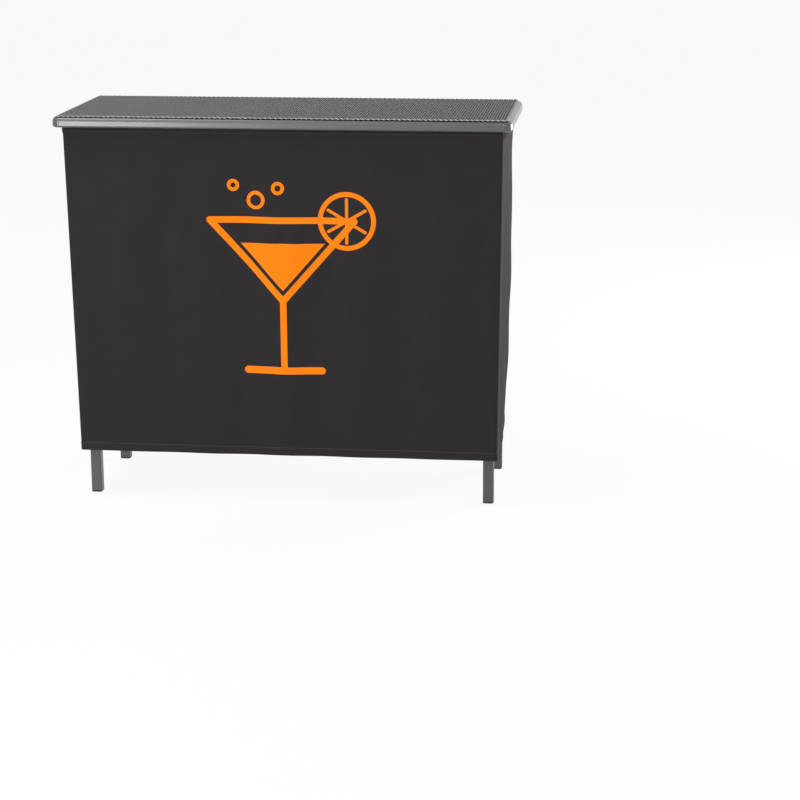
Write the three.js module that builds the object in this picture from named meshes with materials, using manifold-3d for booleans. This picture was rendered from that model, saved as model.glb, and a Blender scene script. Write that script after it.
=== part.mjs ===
// Folding portable bar: mesh counter top, two leg frames that fold inward one over the other, four two-link braces,
// a loose mesh shelf and a three-panel cloth skirt. Millimetres, +Z up. The customer's side faces -Y, the operator's +Y.
import * as THREE from "three";
import { mergeVertices } from "three/addons/utils/BufferGeometryUtils.js";
import Module from "manifold-3d";

const wasm = await Module();
wasm.setup();

// Overall size
const TOP_LENGTH = 1050;
const TOP_DEPTH = 410;
const BAR_HEIGHT = 914;

// Clearances
const FIT = 0.3; // between pieces that touch
const RUNNING = 0.3; // round a pin, on the radius
const MITRE = 0.2; // drawn back from each mitred end of the rim
const TONGUE_GAP = 1; // between the shelf and the lips that its studs rest on

// Rim of formed sheet steel
const RIM_DROP = 27;
const RIM_SHEET = 1.5;
const RIM_NOSE = 11.2;
const RIM_HEM = 5;
const RIM_CORNER = 20;
const RIM_FLANGE = 6;
const RIM_LIP = 6;
const RIM_SEAT = 32;
const RIM_STEPS = 3; // along half a corner
const NOSE_STEPS = 5;

// Expanded-mesh counter panel
const MESH_THICKNESS = 2;
const MESH_END_INSET = 12;
const MESH_SIDE_INSET = 5;
const MESH_BORDER = 16;
const MESH_PITCH_X = 88;
const MESH_PITCH_Y = 60;
const MESH_STRAND = 12;

// Cross straps under the counter panel
const STRAP_THICKNESS = 2.5;
const STRAP_WIDTH = 24;
const STRAP_END_GAP = 9.4;

// Leg frames
const LEG_TUBE = 25;
const LEG_WALL = 1.2;
const LEG_CORNER = 2.5;
const LEG_END_SETBACK = 41;
const LEG_REAR_SETBACK = 19.5;
const LEG_SPREAD = 315;
const LEG_SOLID_END = 20;
const PIVOT_DROP = 21;
const PIVOT_STACK = 28;
const PIN_RADIUS = 3.5;
const PIN_HEAD_RADIUS = 6;
const PIN_HEAD = 2;
const FOOT_FLANGE = 5;
const FOOT_CHAMFER = 2;
const FOOT_PLUG = 22;
const STRETCHER_THICKNESS = 5;
const STRETCHER_HEIGHT = 21;
const STRETCHER_TAB = 18;
const LOW_STRETCHER_Z = 166;
const HIGH_STRETCHER_Z = 660;

// Hinge carriers
const CARRIER_WIDTH = 56;
const EAR_THICKNESS = 2;
const EAR_WIDTH = 24;
const SHORT_EAR_BELOW = 5.5;
const LONG_EAR_BELOW = 13;

// Two-link braces
const LINK_WIDTH = 13;
const LINK_THICKNESS = 1.6;
const LINK_FLANGE = 1.4; // turned in along the leg link's edges
const LINK_TAB = 14; // left flat round each of its rivets
const LINK_STANDOFF = 2.1;
const LINK_SPACE = 1.6;
const LINK_BORE = 3.5;
const RIVET_RADIUS = 3.2;
const RIVET_HEAD_RADIUS = 5;
const RIVET_HEAD = 1.2;
const RIVET_DEPTH = 5.6;
const ANCHOR_THICKNESS = 1.5;
const ANCHOR_WIDTH = 20;
const ANCHOR_BELOW = 8;
const LEFT_BRACE = { legReach: 137, anchorReach: 148.5, anchorRise: 0, stowRise: 0 };
const RIGHT_BRACE = { legReach: 124, anchorReach: 128.5, anchorRise: 31, stowRise: 16 };

// Shelf and the brackets that carry it
const SHELF_TOP_Z = 516.5;
const SHELF_RAIL_HEIGHT = 18.2;
const SHELF_RAIL_WIDTH = 15;
const SHELF_RAIL_WALL = 1.2;
const SHELF_RAIL_SETBACK = 73;
const SHELF_END_SETBACK = 43;
const SHELF_NECK = 10;
const SHELF_END_WALL = 1.5;
const SHELF_STRAP_X = 160;
const SHELF_STRAP_THICKNESS = 3;
const STUD_RADIUS = 5;
const STUD_DROP = 13.5;
const STUD_END_GAP = 1.2;
const BRACKET_THICKNESS = 2.5;
const BRACKET_WIDTH = 34;
const BRACKET_HEIGHT = 42;
const BRACKET_LIP = 10.5;

// Cloth skirt
const CLOTH = 1.2;
const CLOTH_INSET = 20.5;
const TAPE = 2;
const TAPE_HEIGHT = 20;
const SKIRT_BOTTOM_Z = 118;
const SKIRT_TOP_DROP = 5;
const SKIRT_FRONT_LEAN = 12;
const SKIRT_SIDE_LEAN = 10;
const SKIRT_REAR_GAP = 20;
const FOLD_DEPTH = 6;
const FOLD_REACH = 0.9;
const FRONT_FOLDS = 5.5;
const SIDE_FOLD_DEPTH = 3;
const SIDE_FOLDS = 2.5;
const FRONT_COLUMNS = 36;
const SIDE_COLUMNS = 14;
const CLOTH_ROWS = 4;
const BAND_THICKNESS = 1.5;
const BAND_WIDTH = 29;
const BAND_Z = 138;

const ROUND = 14; // sides of a turned piece
const HALF_ROUND = 5; // steps of a rounded end
const CORNER_STEPS = 2; // steps of a tube's rounded corner

// Places worked out from the sizes above
const halfLength = TOP_LENGTH / 2;
const halfDepth = TOP_DEPTH / 2;
const rimTop = BAR_HEIGHT - MESH_THICKNESS - FIT;
const rimBottom = BAR_HEIGHT - RIM_DROP;
const strapTop = rimTop - RIM_SHEET - FIT;
const strapBottom = strapTop - STRAP_THICKNESS;
const legX = halfLength - LEG_END_SETBACK - LEG_TUBE / 2;
const rearLegY = halfDepth - LEG_REAR_SETBACK - LEG_TUBE / 2;
const frontLegY = rearLegY - LEG_SPREAD + LEG_TUBE;
const midLegY = (rearLegY + frontLegY) / 2;
const legGap = LEG_SPREAD - 2 * LEG_TUBE;
const tapeInset = CLOTH_INSET + CLOTH + FIT;
const strapFront = tapeInset + TAPE + FIT - halfDepth;
const strapRear = halfDepth - STRAP_END_GAP;
const shelfBottom = SHELF_TOP_Z - MESH_THICKNESS - FIT - SHELF_RAIL_HEIGHT;
const shelfRailEnd = halfLength - SHELF_RAIL_SETBACK;
const shelfHalfDepth = legGap / 2 - FIT - BRACKET_THICKNESS - BRACKET_LIP - TONGUE_GAP;
const studZ = SHELF_TOP_Z - STUD_DROP;

const SIDES = [
  { name: "left", sign: -1, pivotZ: BAR_HEIGHT - PIVOT_DROP, earBelow: SHORT_EAR_BELOW, brace: LEFT_BRACE },
  {
    name: "right",
    sign: 1,
    pivotZ: BAR_HEIGHT - PIVOT_DROP - PIVOT_STACK,
    earBelow: LONG_EAR_BELOW,
    brace: RIGHT_BRACE,
  },
];
const ROWS = [
  { name: "front", legY: frontLegY, out: -1 },
  { name: "rear", legY: rearLegY, out: 1 },
];

const FINISHES = {
  frame: { color: 0x585757, roughness: 0.45, metalness: 0.3 },
  mesh: { color: 0x5f5e5f, roughness: 0.5, metalness: 0.3 },
  zinc: { color: 0xb4b8b8, roughness: 0.3, metalness: 0.9 },
  plastic: { color: 0x2a2a2b, roughness: 0.6, metalness: 0 },
  cloth: { color: 0x333032, roughness: 0.9, metalness: 0 },
  tape: { color: 0x1c1b1c, roughness: 0.95, metalness: 0 },
};

// Closed solids

function solid(geometry) {
  const loose = geometry.index ? geometry.toNonIndexed() : geometry;
  const bare = new THREE.BufferGeometry().setAttribute("position", loose.getAttribute("position"));
  const shared = mergeVertices(bare, 1e-4);
  return new wasm.Manifold(
    new wasm.Mesh({
      numProp: 3,
      vertProperties: shared.attributes.position.array,
      triVerts: new Uint32Array(shared.index.array),
    }),
  );
}

function surface(body) {
  const { vertProperties, triVerts } = body.getMesh();
  return new THREE.BufferGeometry()
    .setAttribute("position", new THREE.BufferAttribute(vertProperties, 3))
    .setIndex(new THREE.BufferAttribute(triVerts, 1));
}

function cut(base, ...tools) {
  return surface(tools.reduce((body, tool) => body.subtract(solid(tool)), solid(base)));
}

function join(...pieces) {
  return surface(pieces.map(solid).reduce((body, piece) => body.add(piece)));
}

function overlapOf(a, b) {
  return surface(solid(a).intersect(solid(b)));
}

// A box between two values on each axis, in either order.
function block([x0, x1], [y0, y1], [z0, z1]) {
  const box = new THREE.BoxGeometry(Math.abs(x1 - x0), Math.abs(y1 - y0), Math.abs(z1 - z0));
  return box.translate((x0 + x1) / 2, (y0 + y1) / 2, (z0 + z1) / 2);
}

// A cylinder along Y between two values, in either order.
function rod(radius, y0, y1) {
  return new THREE.CylinderGeometry(radius, radius, Math.abs(y1 - y0), ROUND).translate(0, (y0 + y1) / 2, 0);
}

// A shape drawn in X and Y, raised from z0 to z1.
function raised(shape, z0, z1) {
  const options = { depth: z1 - z0, bevelEnabled: false, curveSegments: CORNER_STEPS };
  return new THREE.ExtrudeGeometry(shape, options).translate(0, 0, z0);
}

// A shape drawn in X and Z, as a plate between two values of Y, in either order.
function plate(shape, y0, y1) {
  const options = { depth: Math.abs(y1 - y0), bevelEnabled: false, curveSegments: HALF_ROUND };
  return new THREE.ExtrudeGeometry(shape, options).rotateX(Math.PI / 2).translate(0, Math.max(y0, y1), 0);
}

// Joins rings of points that have one count, and closes both ends.
function loft(rings, flatten) {
  const count = rings[0].length;
  const points = rings.flat();
  const index = [];
  for (let ring = 0; ring < rings.length - 1; ring++) {
    for (let i = 0; i < count; i++) {
      const a = ring * count + i;
      const b = ring * count + ((i + 1) % count);
      index.push(a, b, b + count, a, b + count, a + count);
    }
  }
  const lastStart = (rings.length - 1) * count;
  for (const [i, j, k] of capFaces(rings[0].map(flatten))) index.push(k, j, i);
  for (const face of capFaces(rings.at(-1).map(flatten))) index.push(...face.map((i) => lastStart + i));
  const geometry = new THREE.BufferGeometry().setFromPoints(points).setIndex(index);
  return signedVolume(geometry) < 0 ? geometry.setIndex(index.reverse()) : geometry;
}

// Triangles of a flat ring, each turning the way the ring runs.
function capFaces(ring) {
  const faces = THREE.ShapeUtils.triangulateShape(ring, []);
  return THREE.ShapeUtils.isClockWise(ring) ? faces.map((face) => face.toReversed()) : faces;
}

function signedVolume(geometry) {
  const [a, b, c] = [new THREE.Vector3(), new THREE.Vector3(), new THREE.Vector3()];
  const position = geometry.getAttribute("position");
  const index = geometry.index.array;
  let sum = 0;
  for (let i = 0; i < index.length; i += 3) {
    a.fromBufferAttribute(position, index[i]);
    b.fromBufferAttribute(position, index[i + 1]);
    c.fromBufferAttribute(position, index[i + 2]);
    sum += a.dot(b.cross(c)) / 6;
  }
  return sum;
}

// Outlines

function roundedSquare(size, radius) {
  const h = size / 2;
  const shape = new THREE.Shape();
  shape.moveTo(h - radius, -h);
  shape.absarc(h - radius, -h + radius, radius, -Math.PI / 2, 0);
  shape.absarc(h - radius, h - radius, radius, 0, Math.PI / 2);
  shape.absarc(-h + radius, h - radius, radius, Math.PI / 2, Math.PI);
  shape.absarc(-h + radius, -h + radius, radius, Math.PI, 1.5 * Math.PI);
  return shape;
}

// A strip with round ends, from the origin to (length, 0), with a bore at each end.
function linkOutline(length) {
  const r = LINK_WIDTH / 2;
  const shape = new THREE.Shape();
  shape.absarc(0, 0, r, Math.PI / 2, 1.5 * Math.PI);
  shape.absarc(length, 0, r, -Math.PI / 2, Math.PI / 2);
  return shape;
}

// A tab that hangs from z = top and is rounded round the origin where it has room for it.
function tabOutline(width, top, below) {
  const shape = new THREE.Shape();
  const r = Math.min(width / 2, below);
  shape.moveTo(-width / 2, top);
  shape.lineTo(-width / 2, r - below);
  shape.absarc(-width / 2 + r, r - below, r, Math.PI, 1.5 * Math.PI);
  shape.absarc(width / 2 - r, r - below, r, 1.5 * Math.PI, 2 * Math.PI);
  shape.lineTo(width / 2, top);
  return shape;
}

// A staggered field of diamond openings inside a rectangle, as holes of a shape.
function pierce(shape, [x0, x1], [y0, y1], pitchX, pitchY, strand) {
  const halfX = (pitchX - strand) / 2;
  const halfY = (pitchY - strand) / 2;
  const middleX = (x0 + x1) / 2;
  const middleY = (y0 + y1) / 2;
  const columns = Math.ceil((x1 - x0) / pitchX);
  const rows = Math.ceil((y1 - y0) / pitchY) * 2;
  for (let row = -rows; row <= rows; row++) {
    for (let column = -columns; column <= columns; column++) {
      const x = middleX + (column + (row % 2 ? 0.5 : 0)) * pitchX;
      const y = middleY + (row * pitchY) / 2;
      if (x - halfX < x0 || x + halfX > x1 || y - halfY < y0 || y + halfY > y1) continue;
      const hole = new THREE.Path();
      hole.moveTo(x - halfX, y);
      hole.lineTo(x, y + halfY);
      hole.lineTo(x + halfX, y);
      hole.lineTo(x, y - halfY);
      hole.closePath();
      shape.holes.push(hole);
    }
  }
  return shape;
}

// Scene graph

const bar = new THREE.Group();

function addGroup(parent, x = 0, y = 0, z = 0) {
  const group = new THREE.Group();
  group.position.set(x, y, z);
  parent.add(group);
  return group;
}

function addPiece(parent, name, geometry, finish, x = 0, y = 0, z = 0) {
  geometry.computeVertexNormals();
  const mesh = new THREE.Mesh(geometry, new THREE.MeshStandardMaterial(FINISHES[finish]));
  mesh.name = name;
  mesh.position.set(x, y, z);
  parent.add(mesh);
  return mesh;
}

// Rim: one formed section, swept along each side with half a rounded corner at each end

function rimSection() {
  const nose = rimTop - RIM_NOSE;
  const hem = rimBottom + RIM_HEM;
  const shape = new THREE.Shape();
  shape.moveTo(RIM_FLANGE + RIM_SHEET, rimBottom + RIM_LIP);
  shape.lineTo(RIM_FLANGE + RIM_SHEET, rimBottom);
  shape.lineTo(RIM_HEM, rimBottom);
  shape.absarc(RIM_HEM, hem, RIM_HEM, -Math.PI / 2, -Math.PI, true);
  shape.lineTo(0, nose);
  shape.absarc(RIM_NOSE, nose, RIM_NOSE, Math.PI, Math.PI / 2, true);
  shape.lineTo(RIM_SEAT, rimTop);
  shape.lineTo(RIM_SEAT, rimTop - RIM_SHEET);
  shape.lineTo(RIM_NOSE, rimTop - RIM_SHEET);
  shape.absarc(RIM_NOSE, nose, RIM_NOSE - RIM_SHEET, Math.PI / 2, Math.PI);
  shape.absarc(RIM_HEM, hem, RIM_HEM - RIM_SHEET, Math.PI, 1.5 * Math.PI);
  shape.lineTo(RIM_FLANGE, rimBottom + RIM_SHEET);
  shape.lineTo(RIM_FLANGE, rimBottom + RIM_LIP);
  const points = shape.getPoints(NOSE_STEPS);
  return points.filter((point, i) => point.distanceTo(points.at(i - 1)) > 1e-6);
}

// A length of rim along X whose outer face lies at y = -reach.
function rimRail(half, reach) {
  const section = rimSection();
  const station = (end, angle) =>
    section.map(({ x: inset, y: z }) => {
      const r = Math.max(RIM_CORNER - inset, 1);
      const x = half - MITRE - inset - r + r * Math.sin(angle);
      const y = -(reach - inset - r) - r * Math.cos(angle);
      return new THREE.Vector3(end * x, y, z);
    });
  const angles = Array.from({ length: RIM_STEPS + 1 }, (_, i) => ((i / RIM_STEPS) * Math.PI) / 4);
  const rings = [
    ...angles.toReversed().map((angle) => station(-1, angle)),
    ...angles.map((angle) => station(1, angle)),
  ];
  return loft(rings, (point) => new THREE.Vector2(point.y, point.z));
}

function buildTop() {
  const top = addGroup(bar);
  addPiece(top, "rim_front", rimRail(halfLength, halfDepth), "frame");
  addPiece(top, "rim_rear", rimRail(halfLength, halfDepth), "frame").rotation.z = Math.PI;
  addPiece(top, "rim_right", rimRail(halfDepth, halfLength), "frame").rotation.z = Math.PI / 2;
  addPiece(top, "rim_left", rimRail(halfDepth, halfLength), "frame").rotation.z = -Math.PI / 2;

  const meshX = halfLength - MESH_END_INSET;
  const meshY = halfDepth - MESH_SIDE_INSET;
  const sheet = new THREE.Shape();
  sheet.moveTo(-meshX, -meshY).lineTo(meshX, -meshY).lineTo(meshX, meshY).lineTo(-meshX, meshY);
  const field = [
    [MESH_BORDER - meshX, meshX - MESH_BORDER],
    [MESH_BORDER - meshY, meshY - MESH_BORDER],
  ];
  pierce(sheet, ...field, MESH_PITCH_X, MESH_PITCH_Y, MESH_STRAND);
  addPiece(top, "top_mesh", raised(sheet, BAR_HEIGHT - MESH_THICKNESS, BAR_HEIGHT), "mesh");

  const strap = () => crossStrap(STRAP_WIDTH);
  addPiece(top, "strap_middle", strap(), "frame");
  for (const side of SIDES) {
    addPiece(top, `strap_brace_${side.name}`, strap(), "frame", anchorX(side));
    addPiece(top, `hinge_carrier_${side.name}`, hingeCarrier(side), "frame", side.sign * legX);
    for (const row of ROWS) {
      const tag = `${side.name}_${row.name}`;
      addPiece(top, `brace_anchor_${tag}`, braceAnchor(side, row), "frame", anchorX(side));
      addPiece(top, `pivot_pin_${tag}`, pivotPin(row), "zinc", side.sign * legX, 0, side.pivotZ);
    }
  }
}

// A flat strap from the skirt's front tape to the rear rim.
function crossStrap(width) {
  return block([-width / 2, width / 2], [strapFront, strapRear], [strapBottom, strapTop]);
}

// The end strap with a pair of ears for each leg.
function hingeCarrier(side) {
  const web = crossStrap(CARRIER_WIDTH);
  const outline = tabOutline(EAR_WIDTH, strapBottom + STRAP_THICKNESS / 2 - side.pivotZ, side.earBelow);
  const ears = ROWS.flatMap((row) =>
    [-1, 1].map((face) => {
      const inner = row.legY + face * (LEG_TUBE / 2 + FIT);
      return plate(outline, inner, inner + face * EAR_THICKNESS).translate(0, 0, side.pivotZ);
    }),
  );
  const bores = rod(PIN_RADIUS + RUNNING, -halfDepth, halfDepth).translate(0, 0, side.pivotZ);
  return cut(join(web, ...ears), bores);
}

// A headed pin through one leg and its two ears, with its head on the outer side.
function pivotPin(row) {
  const earFace = LEG_TUBE / 2 + FIT + EAR_THICKNESS;
  const headFoot = row.legY + row.out * (earFace + FIT);
  const shank = rod(PIN_RADIUS, row.legY - row.out * earFace, headFoot);
  return join(shank, rod(PIN_HEAD_RADIUS, headFoot, headFoot + row.out * PIN_HEAD));
}

// Braces: the layers lie one outside the other on each leg's outer face

function linkLayer(row, layer) {
  const inner = LEG_TUBE / 2 + LINK_STANDOFF + LINK_FLANGE + layer * (LINK_THICKNESS + LINK_SPACE);
  return [row.legY + row.out * inner, row.legY + row.out * (inner + LINK_THICKNESS)];
}

// A leg link's strip, pressed as a shallow channel that opens towards the leg, with a shoulder round its rivet.
function channelLink(length, face, outer, out) {
  const middle = [LINK_TAB, length - LINK_TAB];
  const depth = [face - out * LINK_FLANGE, outer];
  const edges = [-1, 1].map((edge) => {
    const far = (edge * LINK_WIDTH) / 2;
    return block(middle, depth, [far, far - edge * LINK_THICKNESS]);
  });
  const shoulder = rod(RIVET_HEAD_RADIUS, face - out * (LINK_FLANGE + LINK_STANDOFF - FIT), outer);
  return join(plate(linkOutline(length), face, outer), ...edges, shoulder);
}

function anchorX(side) {
  return side.sign * (legX - side.brace.anchorReach);
}

function braceAnchor(side, row) {
  const anchorZ = side.pivotZ + side.brace.anchorRise;
  const [inner, outer] = linkLayer(row, 1);
  const tabFoot = outer + row.out * FIT;
  const tab = tabOutline(ANCHOR_WIDTH, strapBottom - FIT - anchorZ, ANCHOR_BELOW);
  const wall = plate(tab, tabFoot, tabFoot + row.out * ANCHOR_THICKNESS);
  return join(wall, rod(RIVET_RADIUS, inner, tabFoot + row.out * ANCHOR_THICKNESS)).translate(0, 0, anchorZ);
}

// Lengths of the two links: straight when the leg stands, and folded back on each other when it lies flat, where their
// joint is stowRise above the pivot. Distances run inward and upward from the leg's pivot.
function braceLinks({ legReach, anchorReach, anchorRise, stowRise }) {
  const span = Math.hypot(anchorReach, legReach + anchorRise);
  let near = Math.max(legReach, anchorReach);
  let far = near + span;
  for (let i = 0; i < 60; i++) {
    const x = (near + far) / 2;
    const toLeg = Math.hypot(x - legReach, stowRise);
    const toAnchor = Math.hypot(x - anchorReach, stowRise - anchorRise);
    if (toLeg + toAnchor < span) near = x;
    else far = x;
  }
  const legLink = Math.hypot(near - legReach, stowRise);
  return { legLink, topLink: span - legLink, slope: Math.atan2(legReach + anchorRise, anchorReach) };
}

// Turns a piece drawn along +X to point inward and up at an angle, or outward and down when it is turned about.
function aim(piece, side, slope, about) {
  const inward = side.sign < 0 ? slope : Math.PI - slope;
  piece.rotation.y = -(inward + (about ? Math.PI : 0));
}

function buildBraces() {
  for (const side of SIDES) {
    const { legLink, topLink, slope } = braceLinks(side.brace);
    for (const row of ROWS) {
      const tag = `${side.name}_${row.name}`;
      const bore = (at) => rod(LINK_BORE, -halfDepth, halfDepth).translate(at, 0, 0);

      const [legFace, legOuter] = linkLayer(row, 0);
      const legStrip = cut(channelLink(legLink, legFace, legOuter, row.out), bore(legLink));
      const legRivet = rod(RIVET_RADIUS, legFace - row.out * (LINK_FLANGE + RIVET_DEPTH), legOuter);
      const legHead = rod(RIVET_HEAD_RADIUS, legOuter, legOuter + row.out * RIVET_HEAD);
      const rivetZ = side.pivotZ - side.brace.legReach;
      const lower = join(legStrip, legRivet, legHead);
      const legPiece = addPiece(bar, `brace_leg_link_${tag}`, lower, "zinc", side.sign * legX, 0, rivetZ);
      aim(legPiece, side, slope, false);

      const [topFace, topOuter] = linkLayer(row, 1);
      const topStrip = cut(plate(linkOutline(topLink), topFace, topOuter), bore(0));
      const midHead = rod(RIVET_HEAD_RADIUS, topOuter, topOuter + row.out * RIVET_HEAD);
      midHead.translate(topLink, 0, 0);
      const anchorZ = side.pivotZ + side.brace.anchorRise;
      const upper = join(topStrip, midHead);
      const topPiece = addPiece(bar, `brace_top_link_${tag}`, upper, "zinc", anchorX(side), 0, anchorZ);
      aim(topPiece, side, slope, true);
    }
  }
}

// Leg frames, drawn from the pivot

function legTube(side, row) {
  const bottom = FOOT_FLANGE + FIT - side.pivotZ;
  const profile = new THREE.Shape();
  profile.moveTo(-LEG_TUBE / 2, bottom);
  profile.lineTo(LEG_TUBE / 2, bottom);
  profile.absarc(0, 0, LEG_TUBE / 2, 0, Math.PI);
  const tube = raised(roundedSquare(LEG_TUBE, LEG_CORNER), bottom, LEG_TUBE / 2);
  const outer = overlapOf(tube, plate(profile, -LEG_TUBE / 2, LEG_TUBE / 2));
  const inside = roundedSquare(LEG_TUBE - 2 * LEG_WALL, LEG_CORNER - LEG_WALL);
  const hollow = raised(inside, bottom - FIT, -LEG_SOLID_END);
  const pivot = rod(PIN_RADIUS + RUNNING, -LEG_TUBE, LEG_TUBE);
  const rivet = rod(RIVET_RADIUS + RUNNING, 0, row.out * LEG_TUBE).translate(0, 0, -side.brace.legReach);
  return cut(outer, hollow, pivot, rivet);
}

function footPlug() {
  const corner = LEG_CORNER;
  const flange = raised(roundedSquare(LEG_TUBE, corner), FOOT_CHAMFER, FOOT_FLANGE);
  const acrossCorners = Math.SQRT1_2;
  const sole = new THREE.CylinderGeometry(
    (LEG_TUBE - corner) * acrossCorners,
    (LEG_TUBE - corner - 2 * FOOT_CHAMFER) * acrossCorners,
    FOOT_CHAMFER,
    4,
  );
  sole.rotateX(Math.PI / 2).rotateZ(Math.PI / 4);
  sole.translate(0, 0, FOOT_CHAMFER / 2);
  const plugSize = LEG_TUBE - 2 * LEG_WALL - 2 * FIT;
  const plug = raised(roundedSquare(plugSize, LEG_CORNER - LEG_WALL), FOOT_FLANGE, FOOT_FLANGE + FOOT_PLUG);
  return join(flange, sole, plug);
}

// A low flat bar between a frame's two legs, with its ends turned in along them, flush with their outer faces.
function lowStretcher(side) {
  const half = legGap / 2 - FIT;
  const outer = (side.sign * LEG_TUBE) / 2;
  const web = outer - side.sign * STRETCHER_THICKNESS;
  const tab = outer - side.sign * STRETCHER_TAB;
  const shape = new THREE.Shape();
  shape.moveTo(outer, -half).lineTo(outer, half).lineTo(tab, half);
  shape.lineTo(tab, half - STRETCHER_THICKNESS).lineTo(web, half - STRETCHER_THICKNESS);
  shape.lineTo(web, STRETCHER_THICKNESS - half).lineTo(tab, STRETCHER_THICKNESS - half).lineTo(tab, -half);
  return raised(shape, -STRETCHER_HEIGHT / 2, STRETCHER_HEIGHT / 2);
}

// A flat bar across the outer faces of a frame's two legs, clear of the shelf's way up.
function highStretcher(side) {
  const inner = side.sign * (LEG_TUBE / 2 + FIT);
  const half = LEG_SPREAD / 2 - LEG_CORNER;
  const height = [-STRETCHER_HEIGHT / 2, STRETCHER_HEIGHT / 2];
  return block([inner, inner + side.sign * STRETCHER_THICKNESS], [-half, half], height);
}

// An angle bracket on the leg's inner face, whose lip carries a stud of the shelf.
function shelfBracket(row) {
  const back = row.legY - row.out * (LEG_TUBE / 2 + FIT);
  const face = back - row.out * BRACKET_THICKNESS;
  const lipTop = studZ - STUD_RADIUS - FIT;
  const across = [-BRACKET_WIDTH / 2, BRACKET_WIDTH / 2];
  const wall = block(across, [back, face], [lipTop - BRACKET_HEIGHT, lipTop]);
  return join(wall, block(across, [back, face - row.out * BRACKET_LIP], [lipTop - BRACKET_THICKNESS, lipTop]));
}

// A hook-and-loop band round a leg.
function legBand() {
  const inner = LEG_TUBE + 2 * FIT;
  const shape = roundedSquare(inner + 2 * BAND_THICKNESS, LEG_CORNER + BAND_THICKNESS);
  shape.holes.push(roundedSquare(inner, LEG_CORNER));
  return raised(shape, -BAND_WIDTH / 2, BAND_WIDTH / 2);
}

function buildFrames() {
  for (const side of SIDES) {
    const frame = addGroup(bar, side.sign * legX, 0, 0);
    for (const row of ROWS) {
      const tag = `${side.name}_${row.name}`;
      addPiece(frame, `leg_${tag}`, legTube(side, row), "frame", 0, row.legY, side.pivotZ);
      addPiece(frame, `foot_${tag}`, footPlug(), "plastic", 0, row.legY, 0);
      addPiece(frame, `shelf_bracket_${tag}`, shelfBracket(row), "frame");
    }
    const low = side.sign < 0;
    const stretcher = low ? lowStretcher(side) : highStretcher(side);
    const stretcherZ = low ? LOW_STRETCHER_Z : HIGH_STRETCHER_Z;
    addPiece(frame, `stretcher_${side.name}`, stretcher, "frame", 0, midLegY, stretcherZ);
    addPiece(frame, `leg_band_${side.name}`, legBand(), "tape", 0, rearLegY, BAND_Z);
  }
}

// Shelf

function shelfRail() {
  const outer = block([-shelfRailEnd, shelfRailEnd], [0, SHELF_RAIL_WIDTH], [0, SHELF_RAIL_HEIGHT]);
  const bore = block(
    [-halfLength, halfLength],
    [SHELF_RAIL_WALL, SHELF_RAIL_WIDTH - SHELF_RAIL_WALL],
    [SHELF_RAIL_WALL, SHELF_RAIL_HEIGHT - SHELF_RAIL_WALL],
  );
  return cut(outer, bore);
}

// An end piece, open below, with a support stud standing out of each end.
function shelfEnd(neckHalf, endX) {
  const near = shelfRailEnd + FIT;
  const outer = block([near, endX], [-neckHalf, neckHalf], [0, SHELF_RAIL_HEIGHT]);
  const inside = block(
    [near + SHELF_END_WALL, endX - SHELF_END_WALL],
    [SHELF_END_WALL - neckHalf, neckHalf - SHELF_END_WALL],
    [-FIT, SHELF_RAIL_HEIGHT - SHELF_END_WALL],
  );
  const tip = legGap / 2 - FIT - BRACKET_THICKNESS - STUD_END_GAP;
  const studs = [-1, 1].map((end) =>
    rod(STUD_RADIUS, end * (neckHalf - SHELF_END_WALL / 2), end * tip).translate(legX, 0, studZ - shelfBottom),
  );
  return join(cut(outer, inside), ...studs);
}

function buildShelf() {
  const shelf = addGroup(bar, 0, midLegY, shelfBottom);
  const endX = halfLength - SHELF_END_SETBACK;
  const neckHalf = shelfHalfDepth - SHELF_NECK;
  const railInner = shelfHalfDepth - SHELF_RAIL_WIDTH;
  addPiece(shelf, "shelf_rail_front", shelfRail(), "frame", 0, -shelfHalfDepth);
  addPiece(shelf, "shelf_rail_rear", shelfRail(), "frame", 0, railInner);
  addPiece(shelf, "shelf_end_right", shelfEnd(neckHalf, endX), "frame");
  addPiece(shelf, "shelf_end_left", shelfEnd(neckHalf, endX), "frame").rotation.z = Math.PI;

  const sheet = new THREE.Shape();
  sheet.moveTo(-shelfRailEnd, -shelfHalfDepth).lineTo(shelfRailEnd, -shelfHalfDepth);
  sheet.lineTo(shelfRailEnd, -neckHalf).lineTo(endX, -neckHalf).lineTo(endX, neckHalf);
  sheet.lineTo(shelfRailEnd, neckHalf).lineTo(shelfRailEnd, shelfHalfDepth);
  sheet.lineTo(-shelfRailEnd, shelfHalfDepth).lineTo(-shelfRailEnd, neckHalf);
  sheet.lineTo(-endX, neckHalf).lineTo(-endX, -neckHalf).lineTo(-shelfRailEnd, -neckHalf);
  const field = [
    [-shelfRailEnd, shelfRailEnd],
    [-railInner, railInner],
  ];
  pierce(sheet, ...field, MESH_PITCH_X, MESH_PITCH_Y, MESH_STRAND);
  const meshFoot = SHELF_RAIL_HEIGHT + FIT;
  addPiece(shelf, "shelf_mesh", raised(sheet, meshFoot, meshFoot + MESH_THICKNESS), "mesh");

  const strapHalf = railInner - FIT;
  for (const side of SIDES) {
    const strip = block(
      [-STRAP_WIDTH / 2, STRAP_WIDTH / 2],
      [-strapHalf, strapHalf],
      [SHELF_RAIL_HEIGHT - SHELF_STRAP_THICKNESS, SHELF_RAIL_HEIGHT],
    );
    addPiece(shelf, `shelf_strap_${side.name}`, strip, "frame", side.sign * SHELF_STRAP_X);
  }
}

// Skirt: panels held flat against strips of hook tape under the rim's seat, in soft folds above a nearly straight hem

function clothPanel(columns, levels, place) {
  return Array.from({ length: columns + 1 }, (_, column) => {
    const outer = levels.map((z) => place(column / columns, z, CLOTH));
    const inner = levels.map((z) => place(column / columns, z, 0));
    return [...outer, ...inner.toReversed()];
  });
}

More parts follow.
